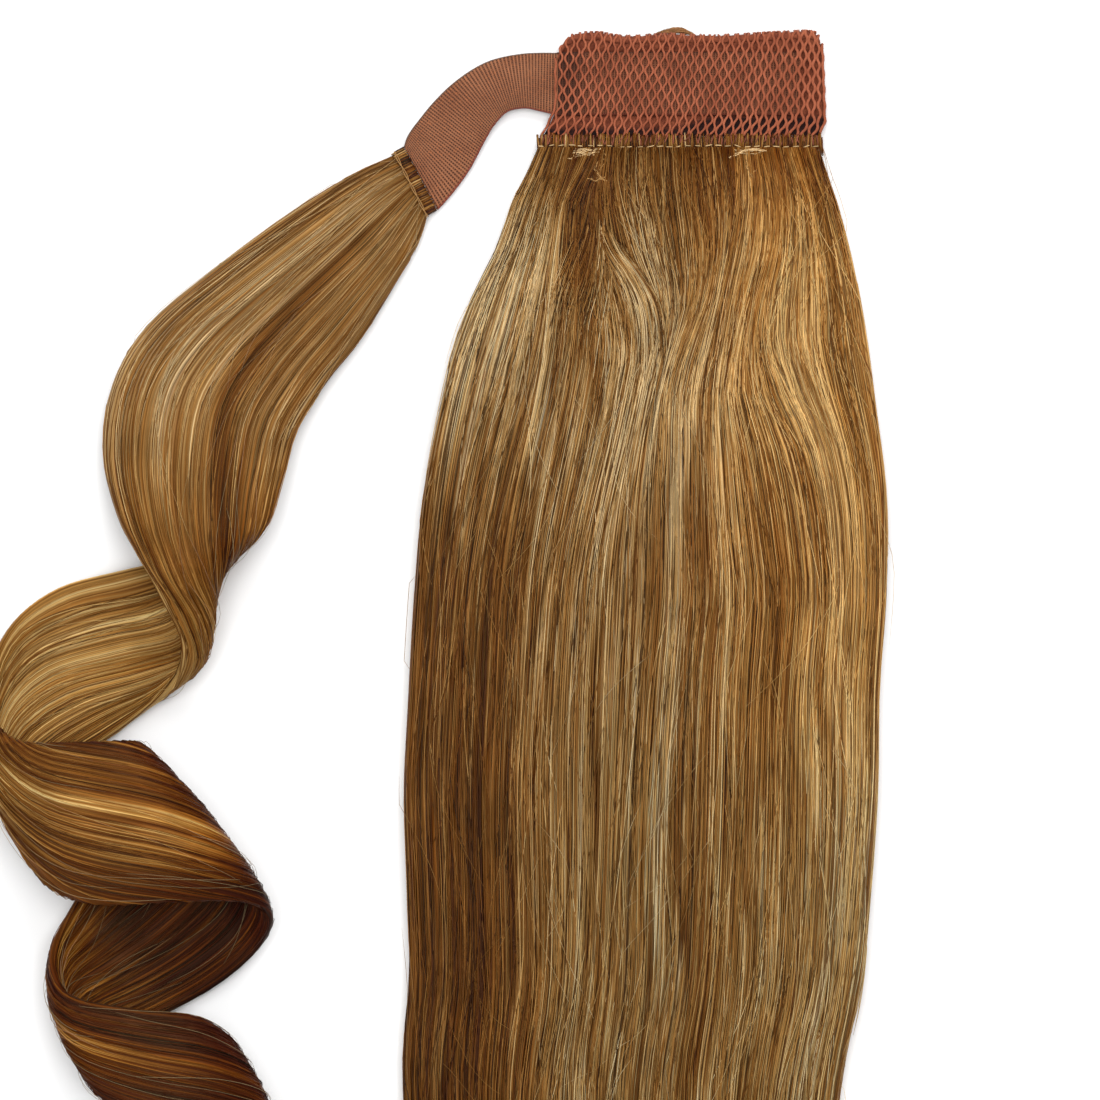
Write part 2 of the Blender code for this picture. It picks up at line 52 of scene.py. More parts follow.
# Sleeve, strap and seams, as in the model
BAND_LEFT, BAND_RIGHT = -46.2, 56.4
BAND_TOP, BAND_BOTTOM = 36.6, -2.3
BAND_FLARE, BAND_FLARE_HEIGHT = 5.6, 12.5
BAND_LOW, BAND_HIGH = 2.1, 6.6
SEAM_LEFT, SEAM_RIGHT = -53.4, 55.6
SEAM_TOP, SEAM_END = -2.6, -8.4
SEAM_LOW, SEAM_HIGH = 2.1, 7.3
WRAP_SEAM_CENTRE = (-99.6, -19.0)
WRAP_SEAM_ANGLE = math.radians(-62.0)
WRAP_SEAM_WIDTH = 27.4
HAIR_START = -8.7
HAIR_LENGTH = 559.0
PONYTAIL_LOCKS = 8

STRAP_INNER_END = 47.0
STRAP_THICKNESS = 1.5
RIB = 1.1

# The ponytail's sections, in millimetres, as in the model
PONYTAIL = dict(
    below=[0, 9, 18, 37, 56, 75, 94, 132, 170, 208, 246, 284, 322, 360, 420, 480, 530, 559],
    centre=[0.6, 0, -0.8, -1.4, -4, -5.9, -7.1, -8.4, -9.9, -12.4, -13.7, -14.3, -15.6, -20.4,
            -22, -22.5, -22, -21],
    width=[107, 115.5, 123.5, 134.5, 147.5, 157.5, 164.5, 176, 179.4, 179, 180.5, 177, 172.5, 168,
           158, 143, 126, 114],
    underside=[2.1, 1, 0, 0, 0, 0, 0, 0, 0, 0, 0, 0, 0, 0, 0, 0, 0, 0],
    depth=[5.4, 9, 13, 17, 20, 21.5, 22, 22, 21.5, 21, 20.5, 20, 19, 18, 15, 11.5, 7.5, 3.2],
)

# The strap's middle line, height, heading in degrees, width and cupping, as in the model
STRAP = dict(
    x=[-36, -45.5, -51.5, -59, -68.3, -76.4, -82.8, -88.8, -93.4, -97.5],
    y=[18.1, 18, 18.6, 18.9, 16.8, 11, 3.6, -5.4, -12, -17.9],
    z=[4.35, 4.35, 4.6, 5, 5.2, 5, 4.4, 3.6, 3.1, 2.9],
    heading=[180, 180, 179, 185, 203, 221, 231, 232, 222, 208],
    width=[24, 23.6, 22.4, 20.8, 20.6, 22.2, 24.6, 26.8, 27.4, 27.4],
    cup=[0, 0, 0.6, 1.4, 1.8, 1.8, 1.2, 0.6, 0.2, 0],
)

# The curled lock's rows, in millimetres, as in the model: the outer edge, the middle and the inner edge
# of each section, and its thickness. They are about 20 mm apart.
WRAP_STEP = 20.0
WRAP_ROWS = np.array([
    (-107.6, -9, 3, -101.6, -20.6, 3.2, -95.2, -32.4, 3, 4.2),
    (-124.5, -17, 3.6, -111.5, -29.5, 6, -98.2, -41.5, 3.6, 5.6),
    (-147.1, -31.2, 4.4, -125, -43, 9, -103.6, -52, 4.6, 7),
    (-175, -52, 6, -153.9, -69.2, 13, -120, -79, 6, 8),
    (-201, -74, 7, -170.5, -86, 16, -133, -95.5, 8, 8),
    (-214.5, -97, 8, -181.3, -104.6, 19, -144.4, -114, 10, 8),
    (-217.8, -123.5, 11, -184.5, -131.1, 26, -149.6, -133, 17, 7.6),
    (-211.5, -147, 22, -183.2, -153, 36, -155.2, -149.5, 21, 7),
    (-203.5, -161.5, 32, -180.8, -169, 36.5, -167, -158.5, 9, 6.6),
    (-195.5, -176, 35, -177.6, -186, 24, -190, -163, 4.5, 6.4),
    (-187.5, -194.5, 26, -184.5, -199.5, 10.5, -213, -167.5, 4.6, 6.4),
    (-192.5, -211.5, 11.5, -204.5, -206, 4.8, -236, -174, 5, 6.6),
    (-211.5, -228, 5, -232.5, -213.5, 5, -252.5, -187, 9, 7),
    (-237, -247, 8, -252.5, -228, 13, -260, -205, 20, 7.2),
    (-245, -268, 17, -257, -247, 27, -258, -222, 33, 7.2),
    (-237.5, -286, 30, -244, -257, 38, -247, -230.5, 39, 7.4),
    (-218, -293, 37.5, -220, -260.5, 42, -228, -231.5, 39.5, 7.4),
    (-189, -292, 36, -191.5, -262, 40, -208.5, -231, 36.5, 7.4),
    (-164, -292.5, 29, -176.5, -266, 32, -203, -233, 29, 7.2),
    (-153.6, -299, 20, -172, -273.5, 19, -203.5, -240, 17, 7),
    (-159.5, -312, 10, -180, -289, 7, -207, -256, 6, 6.8),
    (-175.5, -325.5, 4.8, -196, -304, 4.6, -219, -276, 4.8, 6.6),
    (-195, -336.5, 4.8, -215, -317, 5.6, -229.5, -294, 9, 6.4),
    (-213.5, -345, 10, -230, -326.5, 13, -235.5, -307, 17, 6.4),
    (-222.5, -355.5, 19, -232.5, -337, 24, -235.5, -318, 27, 6.2),
    (-215.5, -367.5, 28, -222.5, -347, 32, -228, -327.5, 32, 6.2),
    (-194, -376.5, 33, -199, -354.5, 35.5, -204.5, -332, 33.5, 6),
    (-168, -381.5, 28, -172, -361, 31, -179.5, -336, 28, 5.8),
    (-152, -391, 18, -156, -371.5, 19, -167.5, -349.5, 17, 5.6),
    (-160, -405, 7, -165, -387.5, 6, -177, -368, 6, 5.2),
    (-184, -415, 3.8, -190.5, -399.5, 3.8, -197, -383, 4.4, 4.8),
    (-202.5, -421, 6.5, -206.5, -408.5, 8.5, -207.5, -395, 10.5, 4.2),
    (-203, -432, 16.5, -205, -420.5, 18.5, -204.5, -409.5, 19.5, 3.6),
    (-186, -438, 20.5, -187.5, -429.5, 21.5, -188.5, -421.5, 21.5, 2.8),
    (-168, -440, 15, -168.5, -436.5, 15.5, -169, -433, 15.5, 1.8),
])
WRAP = dict(
    outer=WRAP_ROWS[:, 0:3], middle=WRAP_ROWS[:, 3:6], inner=WRAP_ROWS[:, 6:9], thick=WRAP_ROWS[:, 9],
)
WRAP_LAST = len(WRAP_ROWS) - 1

# How the ponytail's hair flows: for guides across it, the share of the width that each has at these
# distances below the seam, 19 mm apart, from the seam to where the hair hangs straight.
FLOW_STEP = 18.9
FLOW = np.array([
    [0.00, 0.050, 0.113, 0.203, 0.240, 0.292, 0.419, 0.570, 0.718, 0.780, 0.835, 0.924, 1.0],
    [0.00, 0.060, 0.133, 0.167, 0.269, 0.330, 0.448, 0.583, 0.704, 0.775, 0.824, 0.923, 1.0],
    [0.00, 0.056, 0.141, 0.180, 0.310, 0.383, 0.473, 0.600, 0.668, 0.749, 0.794, 0.913, 1.0],
    [0.00, 0.067, 0.162, 0.216, 0.380, 0.458, 0.514, 0.596, 0.643, 0.710, 0.761, 0.905, 1.0],
    [0.00, 0.067, 0.171, 0.236, 0.419, 0.477, 0.513, 0.557, 0.622, 0.684, 0.752, 0.896, 1.0],
    [0.00, 0.060, 0.169, 0.238, 0.411, 0.462, 0.492, 0.531, 0.605, 0.674, 0.785, 0.915, 1.0],
    [0.00, 0.058, 0.159, 0.230, 0.394, 0.447, 0.477, 0.528, 0.604, 0.698, 0.828, 0.935, 1.0],
    [0.00, 0.058, 0.149, 0.220, 0.373, 0.429, 0.468, 0.524, 0.608, 0.716, 0.851, 0.946, 1.0],
    [0.00, 0.055, 0.140, 0.208, 0.356, 0.419, 0.465, 0.525, 0.618, 0.732, 0.864, 0.952, 1.0],
    [0.00, 0.053, 0.133, 0.201, 0.345, 0.413, 0.464, 0.527, 0.629, 0.748, 0.875, 0.956, 1.0],
])


def srgb(red, green, blue):
    """A colour on a 0 to 255 scale, as linear values."""
    shares = np.array([red, green, blue], float) / 255.0
    return np.where(shares <= 0.04045, shares / 12.92, ((shares + 0.055) / 1.055) ** 2.4)


# The hair's palette: the light blond and the ash colours are pale strands that partly stand in for painted
# sheen, and the darkest colour is dark-brown strands that partly stand in for painted shade in the gaps
# between hairs.
HONEY = srgb(152, 112, 62)
GOLD = srgb(172, 132, 78)
CARAMEL = srgb(134, 90, 42)
BROWN = srgb(96, 56, 20)
PALE_AND_SHEEN = srgb(216, 186, 138)
ASH_AND_SHEEN = srgb(150, 120, 76)
DARK_AND_GAP_SHADE = srgb(54, 27, 8)
PALETTE = np.array([HONEY, GOLD, CARAMEL, BROWN, PALE_AND_SHEEN, ASH_AND_SHEEN, DARK_AND_GAP_SHADE])
PALETTE_SHARES = [0.21, 0.2, 0.17, 0.13, 0.1, 0.1, 0.09]
BRIGHTEST = srgb(230, 196, 144)
CREAM = srgb(214, 180, 130)


def catmull(values, position):
    """Rows of values at fractional positions, on a curve through them all (Catmull-Rom)."""
    values = np.asarray(values, float)
    position = np.asarray(position, float)
    last = len(values) - 1
    k = np.clip(position.astype(int), 0, last - 1)
    t = position - k
    if values.ndim > 1:
        t = t[..., None]
    a, b, c, d = (values[np.clip(k + j, 0, last)] for j in (-1, 0, 1, 2))
    return (
        b
        + (c - a) * (t / 2)
        + (a * 2 - b * 5 + c * 4 - d) * (t * t / 2)
        + (b * 3 - a - c * 3 + d) * (t * t * t / 2)
    )


def smoothstep(low, high, value):
    t = np.clip((value - low) / (high - low), 0.0, 1.0)
    return t * t * (3 - 2 * t)


def unit(vectors):
    return vectors / np.maximum(np.linalg.norm(vectors, axis=-1, keepdims=True), 1e-12)


def dress(obj, node, material):
    """Every piece rides on the one body, takes the finish given, and stands for its CAD node, which is
    hidden.
    """
    obj.data.materials.append(material)
    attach(obj, "root")
    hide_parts(node)


def mesh_from_arrays(name, points, quads, triangles=None, colours=None, uv=None, smooth=True):
    """A mesh object from arrays of points, in millimetres, with four-sided and three-sided faces."""
    quads = np.asarray(quads, np.int32).reshape(-1, 4)
    triangles = np.zeros((0, 3), np.int32) if triangles is None else np.asarray(triangles, np.int32)
    a, b, c, d = (np.asarray(points)[quads[:, k]] for k in range(4))
    volume = np.einsum("ij,ij->", a, np.cross(b, c)) + np.einsum("ij,ij->", a, np.cross(c, d))
    if volume < 0:
        quads, triangles = quads[:, ::-1], triangles[:, ::-1]
    mesh = bpy.data.meshes.new(name)
    mesh.vertices.add(len(points))
    mesh.vertices.foreach_set("co", (np.asarray(points, np.float32) * MM).ravel())
    corners = np.concatenate([quads.ravel(), triangles.ravel()]).astype(np.int32)
    sizes = np.concatenate([np.full(len(quads), 4), np.full(len(triangles), 3)]).astype(np.int32)
    starts = np.concatenate([[0], np.cumsum(sizes)[:-1]]).astype(np.int32)
    mesh.loops.add(len(corners))
    mesh.loops.foreach_set("vertex_index", corners)
    mesh.polygons.add(len(sizes))
    mesh.polygons.foreach_set("loop_start", starts)
    mesh.polygons.foreach_set("use_smooth", np.full(len(sizes), smooth))
    mesh.update(calc_edges=True)
    if colours is not None:
        layer = mesh.color_attributes.new("tone", "FLOAT_COLOR", "POINT")
        rgba = np.ones((len(points), 4), np.float32)
        rgba[:, :3] = colours
        layer.data.foreach_set("color", rgba.ravel())
    if uv is not None:
        layer = mesh.uv_layers.new(name="weave")
        layer.data.foreach_set("uv", np.asarray(uv, np.float32)[corners].ravel())
    mesh.validate()
    obj = bpy.data.objects.new(name, mesh)
    bpy.context.scene.collection.objects.link(obj)
    return obj


def ring_faces(rows, count):
    """The four-sided faces between rows of points that each run round a closed ring."""
    here = np.arange(rows - 1)[:, None] * count
    k = np.arange(count)
    following = (k + 1) % count
    faces = np.stack([here + k, here + following, here + count + following, here + count + k], -1)
    return faces.reshape(-1, 4)


def tubes(name, paths, width, tone=None, sides=3, normals=None, flat=0.8):
    """Thin closed tubes along paths of one length: paths (n, steps, 3), width (n, steps)."""
    count, steps = paths.shape[:2]
    along = unit(np.gradient(paths, axis=1))
    upward = np.broadcast_to(UP, paths.shape) if normals is None else normals
    side = unit(np.cross(upward, along) + 1e-9)
    over = np.cross(along, side)
    angles = (TAU * np.arange(sides) / sides + math.pi / 2)[:, None]
    half = (width / 2)[:, :, None, None]
    rim = np.cos(angles) * side[:, :, None] + flat * np.sin(angles) * over[:, :, None]
    points = (paths[:, :, None] + half * rim).reshape(-1, 3)
    first = np.arange(count)[:, None, None] * steps * sides
    middle = np.arange(1, sides - 1)
    fan = np.stack([0 * middle, middle, middle + 1], -1)
    caps = np.concatenate([first + fan[:, ::-1], first + (steps - 1) * sides + fan]).reshape(-1, 3)
    if tone is not None:
        tone = np.repeat(np.broadcast_to(tone, (count, steps, 3)).reshape(-1, 3), sides, axis=0)
    return mesh_from_arrays(name, points, first + ring_faces(steps, sides), caps, tone)


# Materials


class Graph:
    """A short way to write node trees."""

    def __init__(self, name):
        self.material = bpy.data.materials.new(name)
        self.material.use_nodes = True
        self.tree = self.material.node_tree
        self.shader = self.tree.nodes["Principled BSDF"]

    def node(self, kind, settings=None, **inputs):
        made = self.tree.nodes.new(kind)
        for key, value in (settings or {}).items():
            setattr(made, key, value)
        for key, value in inputs.items():
            self.put(made, key.replace("_", " "), value)
        return made

    def put(self, node, key, value):
        socket = node.inputs[int(key[1:])] if key[0] == "i" and key[1:].isdigit() else node.inputs[key]
        if isinstance(value, bpy.types.NodeSocket):
            self.tree.links.new(value, socket)
        elif hasattr(socket.default_value, "__len__") and len(socket.default_value) == 4 and len(value) == 3:
            socket.default_value = (*value, 1.0)
        else:
            socket.default_value = value

    def math(self, operation, a, b=0.0):
        return self.node("ShaderNodeMath", dict(operation=operation), i0=a, i1=b).outputs[0]

    def mix(self, share, a, b, blend="MIX"):
        made = self.node("ShaderNodeMix", dict(data_type="RGBA", blend_type=blend))
        self.put(made, "i0", share)
        self.put(made, "i6", a)
        self.put(made, "i7", b)
        return made.outputs[2]

    def ramp(self, value, low, high, a=0.0, b=1.0):
        made = self.node("ShaderNodeMapRange", Value=value, From_Min=low, From_Max=high, To_Min=a, To_Max=b)
        return made.outputs[0]

    def noise(self, vector, scale, detail=3.0, roughness=0.55):
        made = self.node("ShaderNodeTexNoise", Vector=vector, Scale=scale, Detail=detail, Roughness=roughness)
        return made.outputs["Fac"]

    def place(self, scale=(1.0, 1.0, 1.0)):
        """Object coordinates, stretched."""
        coordinates = self.node("ShaderNodeTexCoord").outputs["Object"]
        return self.node("ShaderNodeMapping", Vector=coordinates, Scale=scale).outputs[0]

    def bump(self, height, distance, strength=1.0):
        made = self.node("ShaderNodeBump", Height=height, Distance=distance, Strength=strength)
        self.put(self.shader, "Normal", made.outputs[0])

    def finish(self, colour, roughness, specular=0.5, sheen=0.0, tint=(1.0, 1.0, 1.0)):
        self.put(self.shader, "Base Color", colour)
        self.put(self.shader, "Roughness", roughness)
        self.put(self.shader, "Specular IOR Level", specular)
        self.put(self.shader, "Specular Tint", tint)
        self.put(self.shader, "Sheen Weight", sheen)
        return self.material


def strand_material(name, roughness, specular=0.5, mottle=0.12, streaked=False, tint=(1.0, 1.0, 1.0)):
    """Hair and thread: its colour is the vertices' tone, mottled, and on a skin of hairs streaked
    finely along them."""
    g = Graph(name)
    tone = g.node("ShaderNodeVertexColor", dict(layer_name="tone")).outputs["Color"]
    place = g.place()
    patches = g.ramp(g.noise(place, 60.0), 0.3, 0.7, 1.0 - mottle, 1.0 + mottle)
    grain = g.ramp(g.noise(place, 900.0, 2.0), 0.3, 0.7, 0.94, 1.06)
    if streaked:
        weave = g.node("ShaderNodeUVMap", dict(uv_map="weave")).outputs[0]
        lines = g.node("ShaderNodeMapping", Vector=weave, Scale=(1.5, 0.01, 1.0)).outputs[0]
        fine = g.noise(lines, 1.0, 2.0, 0.7)
        grain = g.ramp(fine, 0.34, 0.66, 0.5, 1.4)
        g.bump(fine, 0.0004, 0.8)
    both = g.math("MULTIPLY", patches, grain)
    grey = g.node("ShaderNodeCombineXYZ", X=both, Y=both, Z=both).outputs[0]
    colour = g.mix(1.0, tone, grey, "MULTIPLY")
    gloss = g.ramp(g.noise(place, 140.0, 2.0), 0.3, 0.7, roughness - 0.06, roughness + 0.06)
    return g.finish(colour, gloss, specular, tint=tint)


def net_material():
    g = Graph("net_thread")
    place = g.place()
    share = g.ramp(g.noise(place, 120.0), 0.35, 0.65)
    fibres = g.noise(g.place((1.0, 0.35, 1.0)), 2600.0, 2.0)
    fine = g.ramp(fibres, 0.3, 0.7, 0.0, 0.45)
    colour = g.mix(share, srgb(140, 74, 50), srgb(168, 95, 67))
    colour = g.mix(fine, colour, srgb(106, 50, 34))
    g.bump(fibres, 0.00012)
    return g.finish(colour, 0.75, 0.2, sheen=0.04, tint=(1.0, 0.8, 0.6))


def net_lining_material():
    """What shows through the net's eyes behind the strap: rose darkened as painted shade, and darker still
    as painted shade near its open lower edge.
    """
    g = Graph("net_lining")
    parts = g.node("ShaderNodeSeparateXYZ", Vector=g.place())
    # Painted shade: dark near the lining's open lower edge, reaching higher on the right.
    height = g.math("ADD", parts.outputs[1], g.ramp(parts.outputs[0], 0.0, 0.014, 0.0045, 0.0))
    low = g.ramp(height, 0.0045, 0.007)
    patches = g.ramp(g.noise(g.place(), 420.0), 0.35, 0.65)
    # The rose itself is darkened as painted shade.
    rose = g.mix(patches, srgb(96, 44, 28), srgb(132, 70, 46))
    dark = g.mix(patches, srgb(22, 10, 10), srgb(50, 22, 18))
    g.bump(patches, 0.0003)
    return g.finish(g.mix(low, dark, rose), 0.85, 0.2)


def elastic_material():
    """Ribs across the strap with rows of small holes between them, from its own coordinates in mm. The
    holes and the part inside the sleeve are painted dark as shade, darkest just inside its left opening.
    """
    g = Graph("elastic_weave")
    weave = g.node("ShaderNodeUVMap", dict(uv_map="weave")).outputs[0]
    parts = g.node("ShaderNodeSeparateXYZ", Vector=weave)
    along, across = parts.outputs[0], parts.outputs[1]
    rib = g.ramp(g.math("SINE", g.math("MULTIPLY", along, TAU / RIB)), -0.8, 0.3)
    bridge = g.ramp(g.math("SINE", g.math("MULTIPLY", across, TAU / 0.9)), -0.6, 0.5)
    raised = g.math("MAXIMUM", rib, g.math("MULTIPLY", bridge, 0.7))
    place = g.place()
    patches = g.noise(place, 110.0)
    fleck = g.ramp(g.noise(place, 1300.0, 2.0), 0.52, 0.7)
    # Painted shade in the holes between the ribs.
    painted_hole_shade = srgb(58, 24, 14)
    ridge = g.mix(g.ramp(patches, 0.3, 0.7), srgb(130, 80, 54), srgb(148, 97, 68))
    colour = g.mix(raised, painted_hole_shade, ridge)
    colour = g.mix(g.math("MULTIPLY", fleck, 0.35), colour, srgb(190, 112, 66))
    away = g.math("SUBTRACT", across, 12.5)
    upper = g.ramp(away, 11.7, 12.2)
    lower = g.ramp(away, -11.5, -12.1)
    colour = g.mix(lower, colour, srgb(126, 62, 48))
    colour = g.mix(upper, colour, srgb(94, 66, 50))
    # Painted shade on the part of the strap inside the sleeve.
    inside = g.ramp(along, 91.0, 93.5, 0.6, 0.0)
    colour = g.mix(inside, colour, srgb(104, 50, 32))
    # Painted shade, deepest just inside the sleeve's left opening.
    painted_mouth_shade = g.math("MULTIPLY", g.ramp(along, 80.0, 87.0, 0.0, 0.7), g.ramp(along, 91.5, 93.5, 1.0, 0.0))
    colour = g.mix(painted_mouth_shade, colour, srgb(46, 20, 16))
    g.bump(raised, 0.0004)
    return g.finish(colour, 0.74, 0.25, sheen=0.04, tint=(1.0, 0.85, 0.7))


def plain_material(name, dark, light, scale, roughness, bump=0.0002, specular=0.4):
    g = Graph(name)
    patches = g.noise(g.place(), scale)
    colour = g.mix(g.ramp(patches, 0.3, 0.7), dark, light)
    g.bump(patches, bump)
    gloss = g.ramp(g.noise(g.place(), scale * 3), 0.3, 0.7, roughness - 0.08, roughness + 0.08)
    return g.finish(colour, gloss, specular)


# Ponytail


def lock_relief(share, locks):
    return np.abs(np.sin(math.pi * locks * share))


def crown(share, fullness=2.6):
    return np.sqrt(np.maximum(0.0, 1.0 - np.abs(2.0 * share - 1.0) ** fullness))


def tip_cut(share, locks):
    lock = np.clip((share * locks).astype(int), 0, locks - 1)
    own = 0.035 * (0.5 + 0.5 * np.sin(2.4 * lock + 0.7))
    return own + 0.05 * np.abs(2.0 * share - 1.0) ** 3 + 0.045 * (1.0 - lock_relief(share, locks))


def ponytail_place(share, below, reach=1.0):
    """Where the hair lies at a share of its width and a distance below the seam: its top, and how
    low its underside is there."""
    table = np.array(PONYTAIL["below"], float)
    position = np.interp(below, table, np.arange(len(table)))
    here = {key: catmull(values, position) for key, values in PONYTAIL.items()}
    down = below / HAIR_LENGTH
    x = here["centre"] + (share - 0.5) * here["width"]
    inside = np.clip(share, 0.0, 1.0)
    y = HAIR_START - here["below"] * reach * (1.0 - tip_cut(inside, PONYTAIL_LOCKS) * down**4)
    y = y + 2.3 * (1.0 - smoothstep(0.0, 12.0, below))
    base = np.maximum(0.0, here["underside"])
    side = base + 0.34 * here["depth"]
    relief = 0.8 * np.minimum(1.0, 4.0 * down)
    groove = relief * (lock_relief(inside, PONYTAIL_LOCKS) - 1.0)
    top = side + (0.66 * here["depth"] + groove) * crown(inside) + 0.06 * here["depth"]
    top = np.maximum(top, (SEAM_HIGH + 0.1) * (1.0 - smoothstep(3.0, 10.0, below)))
    full = np.minimum(1.0, 1.6 * crown(inside))
    bottom = np.minimum(side - 0.34 * here["depth"] * full, side - 0.06 * here["depth"])
    return x, y, top, bottom


def make_flow_table():
    """The guides' shares on a fine grid: rows down the hair, columns across it."""
    rows = catmull(FLOW, np.linspace(0.0, len(FLOW) - 1, 181))
    keys = np.linspace(0.0, 1.0, 241)
    table = np.array([np.interp(keys, FLOW[-1], row) for row in rows])
    before = 2 * table[:, :1] - table[:, 8:0:-1]
    after = 2 * table[:, -1:] - table[:, -2:-10:-1]
    wide = np.concatenate([before, table, after], axis=1)
    kernel = np.hanning(19)[1:-1]
    kernel /= kernel.sum()
    return np.array([np.convolve(row, kernel, "valid") for row in wide])


FLOW_TABLE = make_flow_table()


def flow(key, below):
    """The share of the width at which the hair with this key lies, that far below the seam."""
    rows, columns = FLOW_TABLE.shape
    u = np.clip(below / (FLOW_STEP * (len(FLOW) - 1)), 0.0, 1.0) * (rows - 1)
    v = np.clip(key, 0.0, 1.0) * (columns - 1)
    i = np.minimum(u.astype(int), rows - 2)
    j = np.minimum(v.astype(int), columns - 2)
    a, b = u - i, v - j
    table = FLOW_TABLE
    near = table[i, j] * (1 - b) + table[i, j + 1] * b
    far = table[i + 1, j] * (1 - b) + table[i + 1, j + 1] * b
    return near * (1 - a) + far * a + (key - np.clip(key, 0.0, 1.0))


def locks_field(key, along, count, seed, rise, depth, sway):
    """The relief of a number of locks side by side: each has its own height, with a narrow valley
    between it and the next, and they sway together along the hair."""
    random = np.random.default_rng(seed)
    lift = random.normal(0.0, rise, count + 4)
    beat = random.uniform(0, TAU, count + 4)
    bend = np.sin(along / 47.0 + 6.0 * key) + 0.6 * np.sin(along / 23.0 + 11.0 * key + 1.7)
    u = count * key + sway * bend
    own = np.clip(np.floor(u).astype(int) + 2, 0, count + 3)
    d = np.abs((u - np.floor(u)) * 2 - 1)
    swell = 0.65 + 0.35 * np.sin(along / 38.0 + beat[own])
    return lift[own] * swell * (1 - d * d) - depth * d**4


def ponytail_relief(key, below):
    big = locks_field(key, below, 17, 101, 0.5, 0.8, 0.5)
    small = locks_field(key, below, 63, 102, 0.3, 0.5, 1.1)
    small = small + locks_field(key, below, 171, 103, 0.1, 0.22, 1.6)
    edge = 1.0 - np.abs(2 * np.clip(key, 0, 1) - 1) ** 8
    return (big * (0.25 + 0.75 * smoothstep(0.0, 70.0, below)) + small) * edge


def locks_tone(key, along, count, seed, spread):
    """How much lighter or darker each of a number of locks is, changing along it."""
    random = np.random.default_rng(seed)
    own = random.normal(0.0, spread, (count + 4, 9))
    u = count * key + 0.8 * np.sin(along / 47.0 + 6.0 * key)
    v = along / 75.0 + 0.5 * np.sin(u * 2.1)
    i = np.clip(np.floor(u).astype(int) + 2, 0, count + 2)
    j = np.clip(np.floor(v).astype(int), 0, 7)
    a = smoothstep(0.0, 1.0, u - np.floor(u))
    b = smoothstep(0.0, 1.0, np.clip(v - j, 0.0, 1.0))
    near = own[i, j] * (1 - a) + own[i + 1, j] * a
    far = own[i, j + 1] * (1 - a) + own[i + 1, j + 1] * a
    return np.exp(near * (1 - b) + far * b)


def ponytail_tone(key, below):
    return locks_tone(key, below, 23, 111, 0.09) * locks_tone(key, below, 120, 112, 0.2)


def ponytail_wander(key, below):
    edge = 1.0 - np.abs(2 * np.clip(key, 0, 1) - 1) ** 6
    sway = 0.8 * np.sin(below / 52.0 + 9.0 * key) + 0.45 * np.sin(below / 27.0 + 23.0 * key + 2.0)
    return sway * smoothstep(0.0, 90.0, below) * edge


def darkened(tone, factor):
    """Hair in shadow is not only darker but redder, because light passes through more of it. A factor
    above 1 makes it paler, softly capped at BRIGHTEST, which is how painted highlights come through.
    """
    tone = tone * np.maximum(factor, 0.02)[..., None] ** np.array([0.76, 1.16, 1.8])
    return tone / (1.0 + (tone / BRIGHTEST) ** 4) ** 0.25


def warmed(tone, x, y):
    """The right half of the ponytail is more golden than the left, most of all near its top, and the
    middle is paler lower down."""
    warm = smoothstep(-20.0, 45.0, x) * (1.0 - 0.75 * smoothstep(-190.0, -310.0, y))
    pale = smoothstep(-130.0, -300.0, y) * smoothstep(-75.0, -25.0, x)
    tone = tone * (1.0 + warm[..., None] * [0.15, 0.0, -0.26])
    return tone * (1.0 + pale[..., None] * [0.04, 0.16, 0.28])


def painted_hollow_shade(relief, strength):
    """Painted shade: hair that lies deep between others is darker."""
    return np.maximum(1.0 + strength * np.clip(relief + 0.1, -1.4, 0.4), 0.12)


# Painted light and shade on parts of the ponytail: how much lighter or darker, the part's centre, its reach
# across and down in millimetres, and its lean
PONYTAIL_PAINTED_LIGHT_PATCHES = [
    (-0.35, -40.0, -18.0, 15.0, 16.0, 0.0),
    (-0.87, -35.0, -48.0, 11.0, 40.0, 0.1),
    (-0.35, -28.0, -92.0, 12.0, 26.0, 0.2),
    (-0.25, 8.0, -36.0, 12.0, 24.0, 0.0),
    (0.78, -66.0, -66.0, 13.0, 40.0, 0.3),
    (0.16, 46.0, -100.0, 26.0, 46.0, 0.0),
    (0.56, -6.0, -112.0, 38.0, 32.0, 0.0),
    (0.26, 48.0, -120.0, 30.0, 70.0, 0.0),
]


def ponytail_painted_light_and_shade(x, y, below):
    """Painted light and shade over the ponytail, as a factor: darker for about 40 mm below the seam,
    lighter and darker in the patches above, darker on the lower left and lower down, lighter low on the
    right.
    """
    factor = 1.14 * (1.0 - (1.0 - smoothstep(3.0, 42.0, below)) * (0.49 + 0.04 * smoothstep(0.0, 50.0, x)))
    for more, centre_x, centre_y, across, down, lean in PONYTAIL_PAINTED_LIGHT_PATCHES:
        u = (x - centre_x - lean * (y - centre_y)) / across
        v = (y - centre_y) / down
        factor = factor * (1.0 + more * np.exp(-(u * u + v * v)))
    # Painted shade on the lower left and lower down, and painted light low on the right.
    left = smoothstep(-20.0, -75.0, x) * smoothstep(-85.0, -175.0, y)
    factor = factor * (1.0 - 0.62 * left) * (1.0 - 0.26 * smoothstep(-130.0, -330.0, y))
    return factor * (1.0 + 0.44 * smoothstep(10.0, 60.0, x) * smoothstep(-120.0, -300.0, y))


